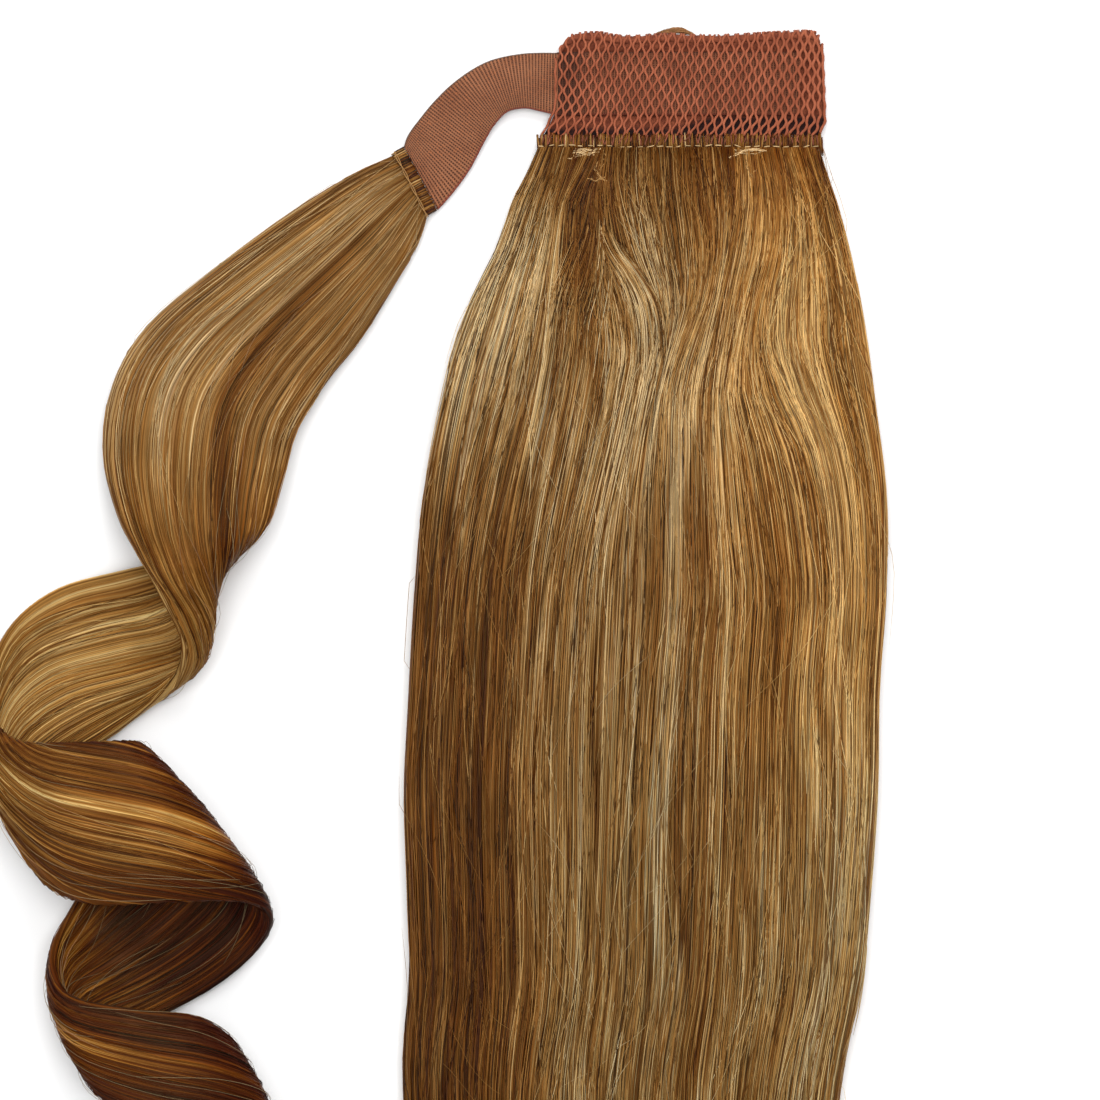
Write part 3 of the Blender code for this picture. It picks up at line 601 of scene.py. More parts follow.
def streaks(random, count, along, gap):
    """Colours of hairs side by side: each changes along its length, as hairs surface and sink, and
    neighbours share a part of their colour."""
    knots = int(np.max(along) / gap) + 3

    def shared(by):
        size = count // by + 1
        own = PALETTE[random.choice(len(PALETTE), (size, knots), p=PALETTE_SHARES)]
        return own[(np.arange(count) + random.integers(by)) * (size - 1) // count]

    mixed = 0.5 * shared(1) + 0.32 * shared(2) + 0.18 * shared(7)
    mixed = darkened(mixed, 0.96 * np.exp(random.normal(0.0, 0.4, (count, knots))))
    position = along / gap + random.uniform(0.0, 1.0, count)[:, None]
    k = np.clip(position.astype(int), 0, knots - 2)
    t = smoothstep(0.0, 1.0, position - k)[..., None]
    row = np.arange(count)[:, None]
    return mixed[row, k] * (1 - t) + mixed[row, k + 1] * t


def hair_tones(random, count, tones=None):
    """One colour for each single hair: a shade of the colour given, or one of the palette's."""
    if tones is not None:
        return tones * random.uniform(0.6, 1.05, (count, 1))
    tones = PALETTE[random.choice(len(PALETTE), count, p=PALETTE_SHARES)]
    blend = random.uniform(0.0, 0.25, count)[:, None]
    tones = tones * (1 - blend) + HONEY * blend
    return darkened(tones, 0.96 * np.exp(random.normal(0.0, 0.34, count)))


def skin(name, upper, lower, upper_tone, lower_tone, upper_uv, lower_uv):
    """A closed skin from an upper and a lower sheet of rows: (columns, rows, 3) each."""
    n, m, rows = len(upper), len(lower), upper.shape[1]
    ring = n + m
    points = np.concatenate([upper, lower[::-1]]).transpose(1, 0, 2).reshape(-1, 3)
    tones = np.concatenate([upper_tone, lower_tone[::-1]]).transpose(1, 0, 2).reshape(-1, 3)
    uv = np.concatenate([upper_uv, lower_uv[::-1]]).transpose(1, 0, 2).reshape(-1, 2)
    cap = []
    i = j = 0
    while i < n - 1 or j < m - 1:
        far = ring - 1 - j
        if j == m - 1 or (i < n - 1 and (i + 1) * (m - 1) <= (j + 1) * (n - 1)):
            cap.append((i, far, i + 1))
            i += 1
        else:
            cap.append((i, far, far - 1))
            j += 1
    cap = np.array(cap)
    caps = np.concatenate([cap[:, ::-1], cap + (rows - 1) * ring])
    return mesh_from_arrays(name, points, ring_faces(rows, ring), caps[:, ::-1], tones, uv)


def loft(name, rings):
    """A closed loft of rings (r, k, 3) with capped ends, each ring running out and back."""
    rows, count = rings.shape[:2]
    caps = []
    for base, turned_over in ((0, True), ((rows - 1) * count, False)):
        for k in range(count // 2 - 1):
            across = count - 1 - k
            face = (base + k, base + k + 1, base + across - 1, base + across)
            caps.append(face if turned_over else face[::-1])
    quads = np.concatenate([ring_faces(rows, count), np.array(caps)])
    return mesh_from_arrays(name, rings.reshape(-1, 3), quads[:, ::-1])


SKIN_LEVELS = np.concatenate([np.arange(0, 262, 6.0), np.arange(264, 400, 13.0), np.linspace(402, 553, 9)])


def ponytail_skin(name, columns, under):
    """The ponytail's surface: a column of points for each hair, so that it has hairs all over."""
    random = np.random.default_rng(61)
    key = np.linspace(0.0, 1.0, columns)[:, None]
    below = np.broadcast_to(SKIN_LEVELS, (columns, len(SKIN_LEVELS)))
    x, y, top, bottom = ponytail_place(flow(key, below), below, 0.985)
    relief = ponytail_relief(key, below)
    x = x + ponytail_wander(key, below)
    ply = random.normal(0.0, 0.1, (columns, 1))
    ply = ply + 0.05 * np.sin(below / 19.0 + random.uniform(0, TAU, (columns, 1)))
    rim = np.minimum(1.0, 12.0 * np.minimum(key, 1.0 - key))
    z = np.maximum(top + relief + ply * rim - 0.45, bottom + 0.35)
    tone = streaks(random, columns, below, 50.0)
    # Painted shade in stripes between the roots, fading out from 10 to 60 mm below the seam.
    stripe = np.sin(key * 410.0 + 2.0 * np.sin(key * 53.0)) + 0.6 * np.sin(key * 173.0)
    root = (1.0 - smoothstep(10.0, 60.0, below)) * smoothstep(0.1, 1.1, stripe)
    # Painted light and shade, the locks' own tones, and painted shade in the hollows and in the root stripes.
    factor = ponytail_painted_light_and_shade(x, y, below) * ponytail_tone(key, below)
    factor = factor * painted_hollow_shade(relief, 0.75) * (1.0 - 0.6 * root)
    upper = np.stack([x, y, z], -1)
    key_under = np.linspace(0.0, 1.0, under)[:, None]
    below_under = np.broadcast_to(SKIN_LEVELS, (under, len(SKIN_LEVELS)))
    x_under, y_under, _, low = ponytail_place(key_under, below_under, 0.985)
    low = low + 0.1 + np.abs(random.normal(0.0, 0.14, (under, 1)))
    lower = np.stack([x_under, y_under, low], -1)
    lower_tone = streaks(random, under, below_under, 60.0) * 0.85
    width = 180.0
    return skin(name, upper, lower, np.clip(warmed(darkened(tone, factor), x, y), 0.002, 0.95), lower_tone,
                np.stack([key * width + 0 * below, below], -1),
                np.stack([key_under * width + 0 * below_under, below_under], -1))


def ponytail_hairs(name, count, seed, steps, span, drift, lift, width, tones=None, root_share=0.3):
    """Single hairs on the ponytail. With a span they cover only a stretch of it: they surface, run on
    top, and sink in again. Drift is how far they cross the others, as a share of the width."""
    random = np.random.default_rng(seed)
    t = np.linspace(0.0, 1.0, steps)[None, :]
    key = (np.arange(count)[:, None] + random.uniform(0, 1, (count, 1))) / count
    if span:
        length = random.uniform(*span, (count, 1))
        start = random.uniform(-0.12, 1.0, (count, 1)) * (HAIR_LENGTH * 0.8)
        start = np.where(random.uniform(0, 1, (count, 1)) < root_share, 0.0, np.maximum(start, 0.0))
        below = np.minimum(start + length * t, HAIR_LENGTH * 0.99)
        sink = np.where(start > 0, smoothstep(0.0, 0.16, t), 1.0) * smoothstep(1.0, 0.84, t)
    else:
        below = HAIR_LENGTH * 0.995 * (0.75 * t + 0.25 * t * t)
        below = np.broadcast_to(below, (count, steps))
        sink = np.ones((count, steps))
    turn = random.normal(0.0, drift, (count, 1))
    bend = random.normal(0.0, drift * 0.5, (count, 1))
    hair_key = key + turn * (t - 0.5) + bend * np.sin(math.pi * t)
    low, high = (-0.012, 1.012) if lift[0] > 0.3 else (0.002, 0.998)
    hair_key = np.clip(hair_key, low, high)
    edge_key = np.clip(hair_key, 0.001, 0.999)
    reach = 1.0 - np.abs(random.normal(0.0, 0.018, (count, 1)))
    x, y, top, bottom = ponytail_place(flow(hair_key, below), below, reach)
    relief = ponytail_relief(edge_key, below)
    curl = random.uniform(28.0, 70.0, (count, 1))
    fine = np.sin(below / curl + random.uniform(0, TAU, (count, 1))) * random.uniform(0.1, 0.55, (count, 1))
    x = x + ponytail_wander(edge_key, below) + fine * smoothstep(0.0, 40.0, below)
    height = random.uniform(*lift, (count, 1))
    z = top + 0.85 * relief + height * sink - 0.75 * (1.0 - sink)
    z = np.maximum(z, bottom + 0.3)
    thick = random.uniform(*width, (count, 1)) * (0.3 + 0.7 * sink)
    thick = thick * (1.0 - 0.7 * smoothstep(0.9, 1.0, below / HAIR_LENGTH))
    tone = hair_tones(random, count, tones)
    # Painted light and shade, painted shade in the hollows, and the locks' own tones.
    factor = ponytail_painted_light_and_shade(x, y, below) * painted_hollow_shade(relief, 0.6) * ponytail_tone(edge_key, below)
    tone = warmed(darkened(tone[:, None, :], factor), x, y)
    return tubes(name, np.stack([x, y, z], -1), thick, np.clip(tone, 0.004, 0.95))


def ponytail_lock(name, left, right, count, seed, lift, light):
    """A lock that lies across the others, between two lines in millimetres: painted light down its middle,
    painted shade along its sides, and sunk in at its ends."""
    random = np.random.default_rng(seed)
    steps = 20
    t = np.linspace(0.0, 1.0, steps)
    share = (np.arange(count)[:, None] + random.uniform(0, 1, (count, 1))) / count
    span = random.uniform([0.0, 0.5], [0.32, 1.0], (count, 2))
    travel = np.clip(span[:, :1] + (span[:, 1:] - span[:, :1]) * t, 0.0, 1.0)
    beat = random.uniform(0.5, 1.5, (count, 1))
    sway = 0.05 * np.sin(TAU * travel * beat + random.uniform(0, TAU, (count, 1)))
    side = np.clip(share + sway, 0.0, 1.0)[..., None]
    start, end = (catmull(np.array(line, float), travel * (len(line) - 1)) for line in (left, right))
    place = start * (1 - side) + end * side
    x, y = place[..., 0], place[..., 1]
    sink = smoothstep(0.0, 0.25, t) * smoothstep(1.0, 0.55, t)
    arch = 1.0 - (2 * side[..., 0] - 1) ** 2
    rise = lift * arch + random.uniform(0.0, 0.5, (count, 1))
    z = hair_height(x, y) + 0.5 + rise * sink - 1.1 * (1 - sink)
    width = random.uniform(0.26, 0.5, (count, 1)) * (0.3 + 0.7 * sink)
    own = np.exp(random.normal(0.0, 0.25, (count, 1)))
    # Painted light on the lock, strongest down its middle, and painted shade along its sides.
    factor = light * (0.5 + 0.55 * arch) * ponytail_painted_light_and_shade(x, y, -y) * own
    tone = darkened(hair_tones(random, count)[:, None, :], factor)
    return tubes(name, np.stack([x, y, z], -1), width, np.clip(tone, 0.003, 0.95))


# Curled lock


def wrap_surface(position, share):
    outer, middle, inner = (catmull(WRAP[key], position) for key in ("outer", "middle", "inner"))
    a = (2.0 * share - 1.0)[..., None]
    return middle + (inner - outer) * (a / 2) + (outer + inner - middle * 2) * (a * a / 2)


def wrap_normal(position, share):
    before = wrap_surface(np.maximum(position - 0.3, 0.0), share)
    after = wrap_surface(np.minimum(position + 0.3, WRAP_LAST), share)
    left = wrap_surface(position, np.maximum(share - 0.05, 0.0))
    right = wrap_surface(position, np.minimum(share + 0.05, 1.0))
    return unit(np.cross(after - before, right - left))


def wrap_half(position, share):
    thick = catmull(WRAP["thick"], position)
    return thick / 2 * (0.22 + 0.78 * crown(np.clip(share, 0, 1)))


def wrap_crease(position, share):
    """The crease that parts the curled lock's first stretch in two."""
    middle = 0.5 + 0.03 * position
    there = smoothstep(1.2, 3.0, position) * (1.0 - smoothstep(7.0, 9.0, position))
    return there * np.exp(-(((share - middle) / 0.055) ** 2))


def wrap_round(key, position):
    """Where a hair with this key, its place round the lock's section, lies further along: its share of
    the width and its face. On the widest turn the hairs wind slantwise round the lock."""
    turn = (key - 0.22 * smoothstep(13.0, 15.8, position) - 0.12 * smoothstep(15.0, 18.8, position)) % 1.0
    return 1.0 - np.abs(2.0 * turn - 1.0), np.where(turn < 0.5, 1.0, -1.0)


def wrap_relief(position, key, share, face):
    along = position * WRAP_STEP
    big = locks_field(key, along, 14, 201, 0.3, 0.45, 0.3)
    small = locks_field(key, along, 56, 202, 0.18, 0.35, 0.8)
    small = small + locks_field(key, along, 150, 203, 0.08, 0.22, 1.3)
    edge = 1.0 - np.abs(2 * np.clip(share, 0, 1) - 1) ** 3
    relief = (big + small) * edge * smoothstep(0.0, 2.0, position)
    thick = np.minimum(1.0, catmull(WRAP["thick"], position) / 6.5)
    return 0.5 * relief * thick - np.where(face > 0, 0.8 * wrap_crease(position, share), 0.0)


def wrap_painted_light_and_shade(position, share):
    """Painted light and shade over the curled lock, as a factor: darker in places on its first stretch,
    much darker down its lower turns and at their edges, with painted highlights along parts of them.
    """
    def patch(p, s, rp, rs):
        return np.exp(-(((position - p) / rp) ** 2) - ((share - s) / rs) ** 2)

    # Painted shade row by row along the lock: how light each row is.
    rows = [0, 1, 2, 3.5, 5, 6.5, 7.6, 9, 10.3, 11.7, 12.7, 13.6, 14.6, 16, 17.4, 18.3, 19.4, 21.4, 22.6, 24,
            27, 34]
    light = [0.5, 0.7, 0.76, 0.82, 0.97, 0.7, 0.43, 0.6, 0.8, 0.93, 0.76, 0.47, 0.28, 0.26, 0.18, 0.09, 0.04,
             0.055, 0.24, 0.1, 0.065, 0.065]
    factor = np.interp(position, rows, light)
    # Painted shade in patches: two on the lock's first stretch, and along both edges of the lower turn around
    # row 15.
    factor = factor * (1.0 - 0.42 * patch(4.3, 0.7, 2.2, 0.2)) * (1.0 - 0.4 * patch(7.2, 0.8, 1.6, 0.25))
    factor = factor * (1.0 - 0.35 * patch(15.5, 1.0, 4.0, 0.16)) * (1.0 - 0.4 * patch(15.5, 0.0, 4.0, 0.13))
    # Painted highlights along the middle of the lower turns.
    painted_highlights = 1.5 * patch(14.4, 0.62, 1.6, 0.24) + 1.9 * patch(17.0, 0.36, 1.2, 0.15)
    painted_highlights = painted_highlights + 2.2 * patch(24.8, 0.5, 1.6, 0.17) + 1.2 * patch(20.6, 0.45, 1.2, 0.12)
    return factor * (1.0 + painted_highlights)


def wrap_hair_tone(tone, position, key, share, relief):
    along = position * WRAP_STEP
    locks = locks_tone(key, along, 30, 211, 0.08) * locks_tone(key, along, 120, 212, 0.18)
    contrast = 1.0 + 0.9 * smoothstep(5.0, 8.0, position) + 1.5 * smoothstep(12.8, 14.4, position)
    # Painted light and shade, times painted shade in the hollows and the locks' own tones, which get more
    # contrast further along the lock.
    factor = wrap_painted_light_and_shade(position, share) * (painted_hollow_shade(relief, 0.8) * locks) ** contrast
    golden = 1.0 - smoothstep(4.0, 9.0, position)[..., None] * np.array([0.0, 0.08, 0.32])
    golden = golden - smoothstep(15.0, 18.0, position)[..., None] * np.array([0.0, 0.12, 0.25])
    return np.clip(darkened(tone, factor) * golden, 0.002, 0.95)


def wrap_skin(name, columns, rows):
    """The curled lock's surface: a column of points for each hair, all the way round."""
    random = np.random.default_rng(62)
    key = (np.arange(columns)[:, None] + 0.5) / columns
    place = np.broadcast_to(np.linspace(0.0, WRAP_LAST - 0.25, rows), (columns, rows))
    share, face = wrap_round(key, place)
    relief = wrap_relief(place, key, share, face)
    ply = random.normal(0.0, 0.09, (columns, 1)) * (1.0 - np.abs(2 * share - 1) ** 8)
    half = np.maximum(wrap_half(place, share) + relief + ply - 0.35, 0.1)
    points = wrap_surface(place, share) + wrap_normal(place, share) * (half * face)[..., None]
    points[..., 2] = np.maximum(points[..., 2], 0.3)
    tone = wrap_hair_tone(streaks(random, columns, place * WRAP_STEP, 60.0), place, key, share, relief)
    uv = np.stack([key * 160.0 + 0 * place, place * WRAP_STEP], -1)
    rings, tone, uv = (values.transpose(1, 0, 2) for values in (points, tone, uv))
    k = np.arange(columns)
    following = (k + 1) % columns
    end = (rows - 1) * columns
    first = np.stack([np.full(columns, rows * columns), following, k], -1)
    last = np.stack([np.full(columns, rows * columns + 1), end + k, end + following], -1)
    points, tone, uv = (
        np.concatenate([values.reshape(-1, values.shape[-1]), values[[0, -1]].mean(axis=1)])
        for values in (rings, tone, uv)
    )
    return mesh_from_arrays(name, points, ring_faces(rows, columns), np.concatenate([first, last]), tone, uv)


def wrap_hairs(name, count, seed, steps, span, drift, lift, width, tones=None):
    """Single hairs round the curled lock, each on a stretch of it."""
    random = np.random.default_rng(seed)
    t = np.linspace(0.0, 1.0, steps)[None, :]
    key = (np.arange(count)[:, None] + random.uniform(0, 1, (count, 1))) / count
    length = random.uniform(*span, (count, 1))
    start = random.uniform(-0.1, 0.97, (count, 1)) * WRAP_LAST
    start = np.where(random.uniform(0, 1, (count, 1)) < 0.12, 0.0, np.maximum(start, 0.0))
    position = np.minimum(start + length * t, WRAP_LAST - 0.02)
    sink = np.where(start > 0, smoothstep(0.0, 0.14, t), 1.0) * smoothstep(1.0, 0.86, t)
    turn = random.normal(0.0, drift, (count, 1))
    key = key + turn * (t - 0.5) + random.normal(0.0, drift * 0.4, (count, 1)) * np.sin(math.pi * t)
    key = key + 0.003 * np.sin(position * 1.7 + random.uniform(0, TAU, (count, 1)))
    share, face = wrap_round(key, position)
    relief = wrap_relief(position, key % 1.0, share, face)
    half = wrap_half(position, share)
    out = np.maximum(half + 0.85 * relief + random.uniform(*lift, (count, 1)) * sink - 0.5 * (1 - sink), 0.1)
    normal = wrap_normal(position, share) * face[..., None]
    paths = wrap_surface(position, share) + normal * out[..., None]
    paths[..., 2] = np.maximum(paths[..., 2], 0.35)
    thick = random.uniform(*width, (count, 1)) * (0.3 + 0.7 * sink)
    tone = hair_tones(random, count, tones)
    colours = wrap_hair_tone(tone[:, None, :], position, key % 1.0, share, relief * 0.7)
    if tones is not None:
        colours = np.maximum(colours, 0.4 * tone[:, None, :])
    return tubes(name, paths, thick, colours, normals=normal)


# Net sleeve


def sleeve_edges(y):
    """The sleeve's left and right edges at a height, in millimetres."""
    low = np.clip((BAND_BOTTOM + BAND_FLARE_HEIGHT - y) / BAND_FLARE_HEIGHT, 0.0, 1.0)
    left = BAND_LEFT - BAND_FLARE * low**1.3
    right = BAND_RIGHT - 2.4 * np.clip((BAND_BOTTOM + 6.0 - y) / 6.0, 0.0, 1.0)
    return left, right - 1.2 * np.clip((y - 4.0) / 32.0, 0.0, 1.0)


SLEEVE_FOLD = dict(
    x=[-45.8, -44.6, -42.3, -38.8, -35, -29.3, -24.7, -19.8, -14.1, -8.4, -2.7, 4.9, 15.2, 22, 29.6, 37.6,
       44.8, 49.8, 52.2, 54.2, 55.2],
    y=[27.5, 31.2, 35, 36.9, 37.5, 37.5, 36.5, 36.1, 36.2, 36.7, 37, 36.5, 36.3, 36.6, 37, 37.5, 37.9,
       38, 37.5, 35.6, 32.8],
)


def sleeve_top(x):
    """How high the fold is at x: rounded down at its corners, and a little wavy."""
    return np.interp(x, SLEEVE_FOLD["x"], SLEEVE_FOLD["y"])


def net_threads(name):
    """The knit: threads side by side that meet and part, from the front over the fold to the back."""
    random = np.random.default_rng(11)
    count, period, steps = 55, 6.05, 128
    spacing = (BAND_RIGHT - BAND_LEFT) / (count - 1)
    paths = np.zeros((count, steps, 3))
    width = np.zeros((count, steps))
    turn = (BAND_HIGH - BAND_LOW) / 2
    for i in range(count):
        share = i / (count - 1)
        leaned = 2.2 * min(1.0, 9.0 * min(share, 1.0 - share))
        top = float(sleeve_top(BAND_LEFT + share * (BAND_RIGHT - 1.2 - BAND_LEFT) + leaned)) + 0.35
        bottom = BAND_BOTTOM - 1.4
        straight = top - bottom - turn
        arc = math.pi * turn
        s = np.linspace(0.0, 2 * straight + arc, steps)
        angle = np.clip((s - straight) / turn, 0.0, math.pi)
        y = np.where(s < straight, bottom + s, top - turn + turn * np.sin(angle))
        y = np.where(s >= straight + arc, top - turn - (s - straight - arc), y)
        z = (BAND_HIGH + BAND_LOW) / 2 + turn * np.cos(angle)
        left, right = sleeve_edges(y)
        x = BAND_LEFT + share * (right - BAND_LEFT) + (left - BAND_LEFT) * max(0.0, 1.0 - share / 0.24) ** 1.4
        inner = np.minimum(1.0, 9.0 * np.minimum(share, 1.0 - share))
        lean = 0.12 * (y - 17.0) * inner
        ground = y + 0.152 * x
        phase = TAU * np.where(s < straight + arc / 2, ground, 2 * top - ground) / period
        phase = phase + 0.35 * math.sin(share * 9.0) + random.normal(0.0, 0.1)
        wave = np.cos(phase + 0.16 * np.sin(s / 3.1 + share * 31.0)) * (-1) ** i
        wave = np.sign(wave) * np.abs(wave) ** 0.75
        dense = smoothstep(0.55, 0.95, share)
        swing = (spacing - 0.84) / 2 * (1.0 + 0.08 * math.sin(share * 23.0) - 0.1 * dense)
        x = x + lean + swing * wave * (1.0 if 0 < i < count - 1 else 0.35)
        front = s < straight + arc / 2
        sink = 0.9 * smoothstep(3.0, -3.4, y)
        z = z + np.where(front, -0.3 + 0.14 * np.sin(2 * phase) - sink, 0.25)
        paths[i] = np.stack([x, y, z], -1)
        width[i] = 0.94 + 0.26 * dense + 0.08 * np.cos(2 * phase) + 0.03 * np.sin(s * 6.0)
    across = np.broadcast_to(np.array([1.0, 0.0, 0.0]), paths.shape)
    normals = unit(np.cross(across, np.gradient(paths, axis=1)))
    return tubes(name, paths, width, None, sides=6, normals=normals, flat=0.75)


def sleeve_back(name):
    """The sleeve's back wall, a dense layer seen through the net's eyes, painted dark as shade."""
    columns, rows = 60, 26
    x_share, y_share = np.meshgrid(np.linspace(0, 1, columns), np.linspace(0, 1, rows))
    y = BAND_BOTTOM + 0.6 + y_share * (BAND_TOP + 0.6 - BAND_BOTTOM)
    left, right = sleeve_edges(y)
    x = left + 0.8 + x_share * (right - left - 1.2)
    y = np.minimum(y, sleeve_top(x) - 1.0)
    z = 3.0 + 1.9 * smoothstep(29.0, 32.0, y) + 1.5 * smoothstep(5.9, 4.9, y)
    upper = np.stack([x, y, z], -1)
    lower = np.stack([x, y, z - 0.35], -1)
    return loft(name, np.concatenate([upper, lower[:, ::-1]], axis=1))


def sleeve_fold(name):
    """The soft roll of knit inside the fold, under the threads, bumpy along its top."""
    steps, sides = 420, 12
    x = np.linspace(BAND_LEFT + 0.8, BAND_RIGHT - 1.8, steps)
    angle = np.linspace(0.0, TAU, sides, endpoint=False)
    bump = 1.0 + 0.1 * np.abs(np.sin(math.pi * (x + BAND_RIGHT) / 1.88)) + 0.05 * np.sin(x * 1.1)
    y = (sleeve_top(x) - 1.6)[:, None] + 1.5 * bump[:, None] * np.cos(angle)
    z = (BAND_HIGH + BAND_LOW) / 2 + 1.6 * bump[:, None] * np.sin(angle)
    rings = np.stack([np.broadcast_to(x[:, None], y.shape), y, z], -1)
    return loft(name, rings)


# Strap


def strap_piece(name):
    table = {key: [values[0]] + list(values) for key, values in STRAP.items()}
    table["x"][0] = STRAP_INNER_END
    position = np.linspace(0.0, len(table["x"]) - 1, 2400)
    line = {key: catmull(values, position) for key, values in table.items()}
    walked = np.concatenate([[0], np.cumsum(np.hypot(np.diff(line["x"]), np.diff(line["y"])))])
    steps = int(walked[-1] / RIB * 5)
    s = np.linspace(0.0, walked[-1], steps)
    here = {key: np.interp(s, walked, values) for key, values in line.items()}
    heading = np.radians(here["heading"])
    side = np.stack([np.sin(heading), -np.cos(heading), np.zeros(steps)], -1)
    middle = np.stack([here["x"], here["y"], here["z"]], -1)
    across = np.concatenate([[0.0, 0.02], np.linspace(0.05, 0.92, 16), [0.945, 0.965, 0.985, 1.0]])
    ridge = 0.5 + 0.5 * np.sin(TAU * s / RIB)
    upper, lower, uv = [], [], []
    for share in across:
        rise = here["cup"] * (1.0 - (2.0 * share - 1.0) ** 2)
        point = middle + side * ((share - 0.5) * here["width"])[:, None]
        point[:, 2] += rise
        rim = 1.0 - 0.55 * abs(2 * share - 1) ** 10
        half = STRAP_THICKNESS / 2 * rim
        top, low = point.copy(), point.copy()
        top[:, 2] += half - 0.13 * (1.0 - ridge) * rim + 0.18 * math.exp(-(((share - 0.965) / 0.02) ** 2))
        low[:, 2] -= half - 0.1 * (1.0 - ridge) * rim
        upper.append(top)
        lower.append(low)
        uv.append(np.stack([s, np.full(steps, share * 25.0)], -1))
    rings = np.concatenate([np.array(upper), np.array(lower)[::-1]]).transpose(1, 0, 2)
    uvs = np.concatenate([np.array(uv), np.array(uv)[::-1]]).transpose(1, 0, 2).reshape(-1, 2)
    strap = loft(name, rings)
    layer = strap.data.uv_layers.new(name="weave")
    corners = np.zeros(len(strap.data.loops), np.int32)
    strap.data.loops.foreach_get("vertex_index", corners)
    layer.data.foreach_set("uv", uvs[corners].astype(np.float32).ravel())
    return strap


# Seams, stitches and thread ends


def loop_tones(random, shape, mean, spread):
    """One shaded colour for each of a seam's loops, along its steps."""
    tone = hair_tones(random, shape[0])[:, None, :]
    factor = np.clip(random.normal(mean, spread, shape[0]), 0.06, 0.8)[:, None] * np.ones(shape)
    return np.clip(darkened(tone, factor), 0.004, 0.9)


def seam_loops(name):
    """The turned-over roots of the hair, side by side along the seam."""
    random = np.random.default_rng(21)
    count, steps = 310, 7
    x = np.linspace(SEAM_LEFT + 0.3, SEAM_RIGHT - 0.3, count) + random.normal(0, 0.12, count)
    t = np.linspace(0.0, 1.0, steps)[None, :]
    start = SEAM_TOP + 1.0 + random.normal(0, 0.25, count)[:, None]
    y = start + (SEAM_END - 1.2 - SEAM_TOP) * t + random.normal(0, 0.3, count)[:, None]
    z = 5.0 + 2.0 * np.sin(math.pi * np.clip(0.1 + 0.9 * t, 0.0, 1.0)) ** 0.5
    z = z + random.uniform(-0.45, 0.25, count)[:, None] - 0.5 * smoothstep(0.75, 1.0, t)
    lean = random.normal(0.0, 0.6, count)[:, None] * (t - 0.5)
    paths = np.stack([x[:, None] + lean, y, z], -1)
    width = random.uniform(0.26, 0.6, count)[:, None] * np.ones_like(z)
    return tubes(name, paths, width, loop_tones(random, z.shape, 0.38, 0.2), sides=5)


def net_roots(name):
    """Ends of the net's threads, which reach over the seam down to the stitches."""
    random = np.random.default_rng(24)
    count, steps = 62, 8
    x = np.linspace(SEAM_LEFT + 2.5, SEAM_RIGHT - 2.0, count) + random.normal(0, 0.35, count)
    t = np.linspace(0.0, 1.0, steps)[None, :]
    length = random.uniform(2.2, 4.2, count)[:, None]
    y = BAND_BOTTOM + 0.6 - length * t
    z = 6.2 + 1.05 * smoothstep(0.0, 0.7, t) + random.uniform(-0.2, 0.15, count)[:, None]
    lean = random.normal(-0.2, 0.9, count)[:, None] * t
    paths = np.stack([x[:, None] + lean, y, z], -1)
    width = 0.62 - 0.25 * t + 0 * y
    tone = srgb(138, 76, 54) * random.uniform(0.5, 1.1, (count, 1, 1)) * np.ones((count, steps, 1))
    return tubes(name, paths, width, tone, sides=5)


def seam_bar(name, left, right, top, end, low, high):
    """The soft body of a seam under its loops: a bar of rounded section."""
    steps, half = 60, 12
    angle = np.concatenate([np.linspace(0, math.pi, half), np.linspace(math.pi, TAU, half)])
    c, s = np.cos(angle), np.sin(angle)
    rings = np.zeros((steps, 2 * half, 3))
    rings[:, :, 0] = np.linspace(left, right, steps)[:, None]
    rings[:, :, 1] = (top + end) / 2 + (top - end) / 2 * np.sign(c) * np.abs(c) ** 0.6
    rings[:, :, 2] = (low + high) / 2 + (high - low) / 2 * np.sign(s) * np.abs(s) ** 0.6
    return loft(name, rings)


def seam_stitches(name):
    """The cream line of stitches along the seam, and a finer dotted one below parts of it."""
    random = np.random.default_rng(22)
    pitch, steps = 3.72, 9
    count = int((SEAM_RIGHT - SEAM_LEFT - 1.0) / pitch)
    t = np.linspace(0.0, 1.0, steps)
    paths, width = [], []
    for n in range(count):
        start = SEAM_LEFT + 0.9 + n * pitch + random.normal(0, 0.15)
        length = 2.2 + random.normal(0, 0.25)
        x = start + length * t
        y = -5.95 + random.normal(0, 0.12) + 0.25 * np.sin(x / 9.0) + random.normal(0, 0.3) * (t - 0.5)
        z = 7.0 + 0.5 * np.sin(math.pi * t) ** 0.35
        paths.append(np.stack([x, y, z], -1))
        width.append(np.full(steps, 0.42))
    for n in range(int(count * 2.4)):
        if random.uniform() < 0.35:
            continue
        x = SEAM_LEFT + 1.2 + n * pitch / 2.4 + random.normal(0, 0.2) + 0.8 * t
        y = -7.3 + random.normal(0, 0.15) + 0.0 * t
        z = 6.85 + 0.45 * np.sin(math.pi * t) ** 0.5
        paths.append(np.stack([x, y, z], -1))
        width.append(np.full(steps, 0.24))
    paths = np.array(paths)
    shades = random.uniform(0.5, 0.95, (len(paths), 1, 1))
    tone = CREAM * shades * np.ones((*paths.shape[:2], 1))
    return tubes(name, paths, np.array(width), tone, sides=6, flat=0.85)


def hair_height(x, y):
    """How high the ponytail's hair stands at a place, in millimetres."""
    below = np.maximum(HAIR_START - y, 0.0)
    position = np.interp(below, PONYTAIL["below"], np.arange(len(PONYTAIL["below"])))
    share = (x - catmull(PONYTAIL["centre"], position)) / catmull(PONYTAIL["width"], position) + 0.5
    return np.maximum(ponytail_place(share, below)[2], SEAM_HIGH)


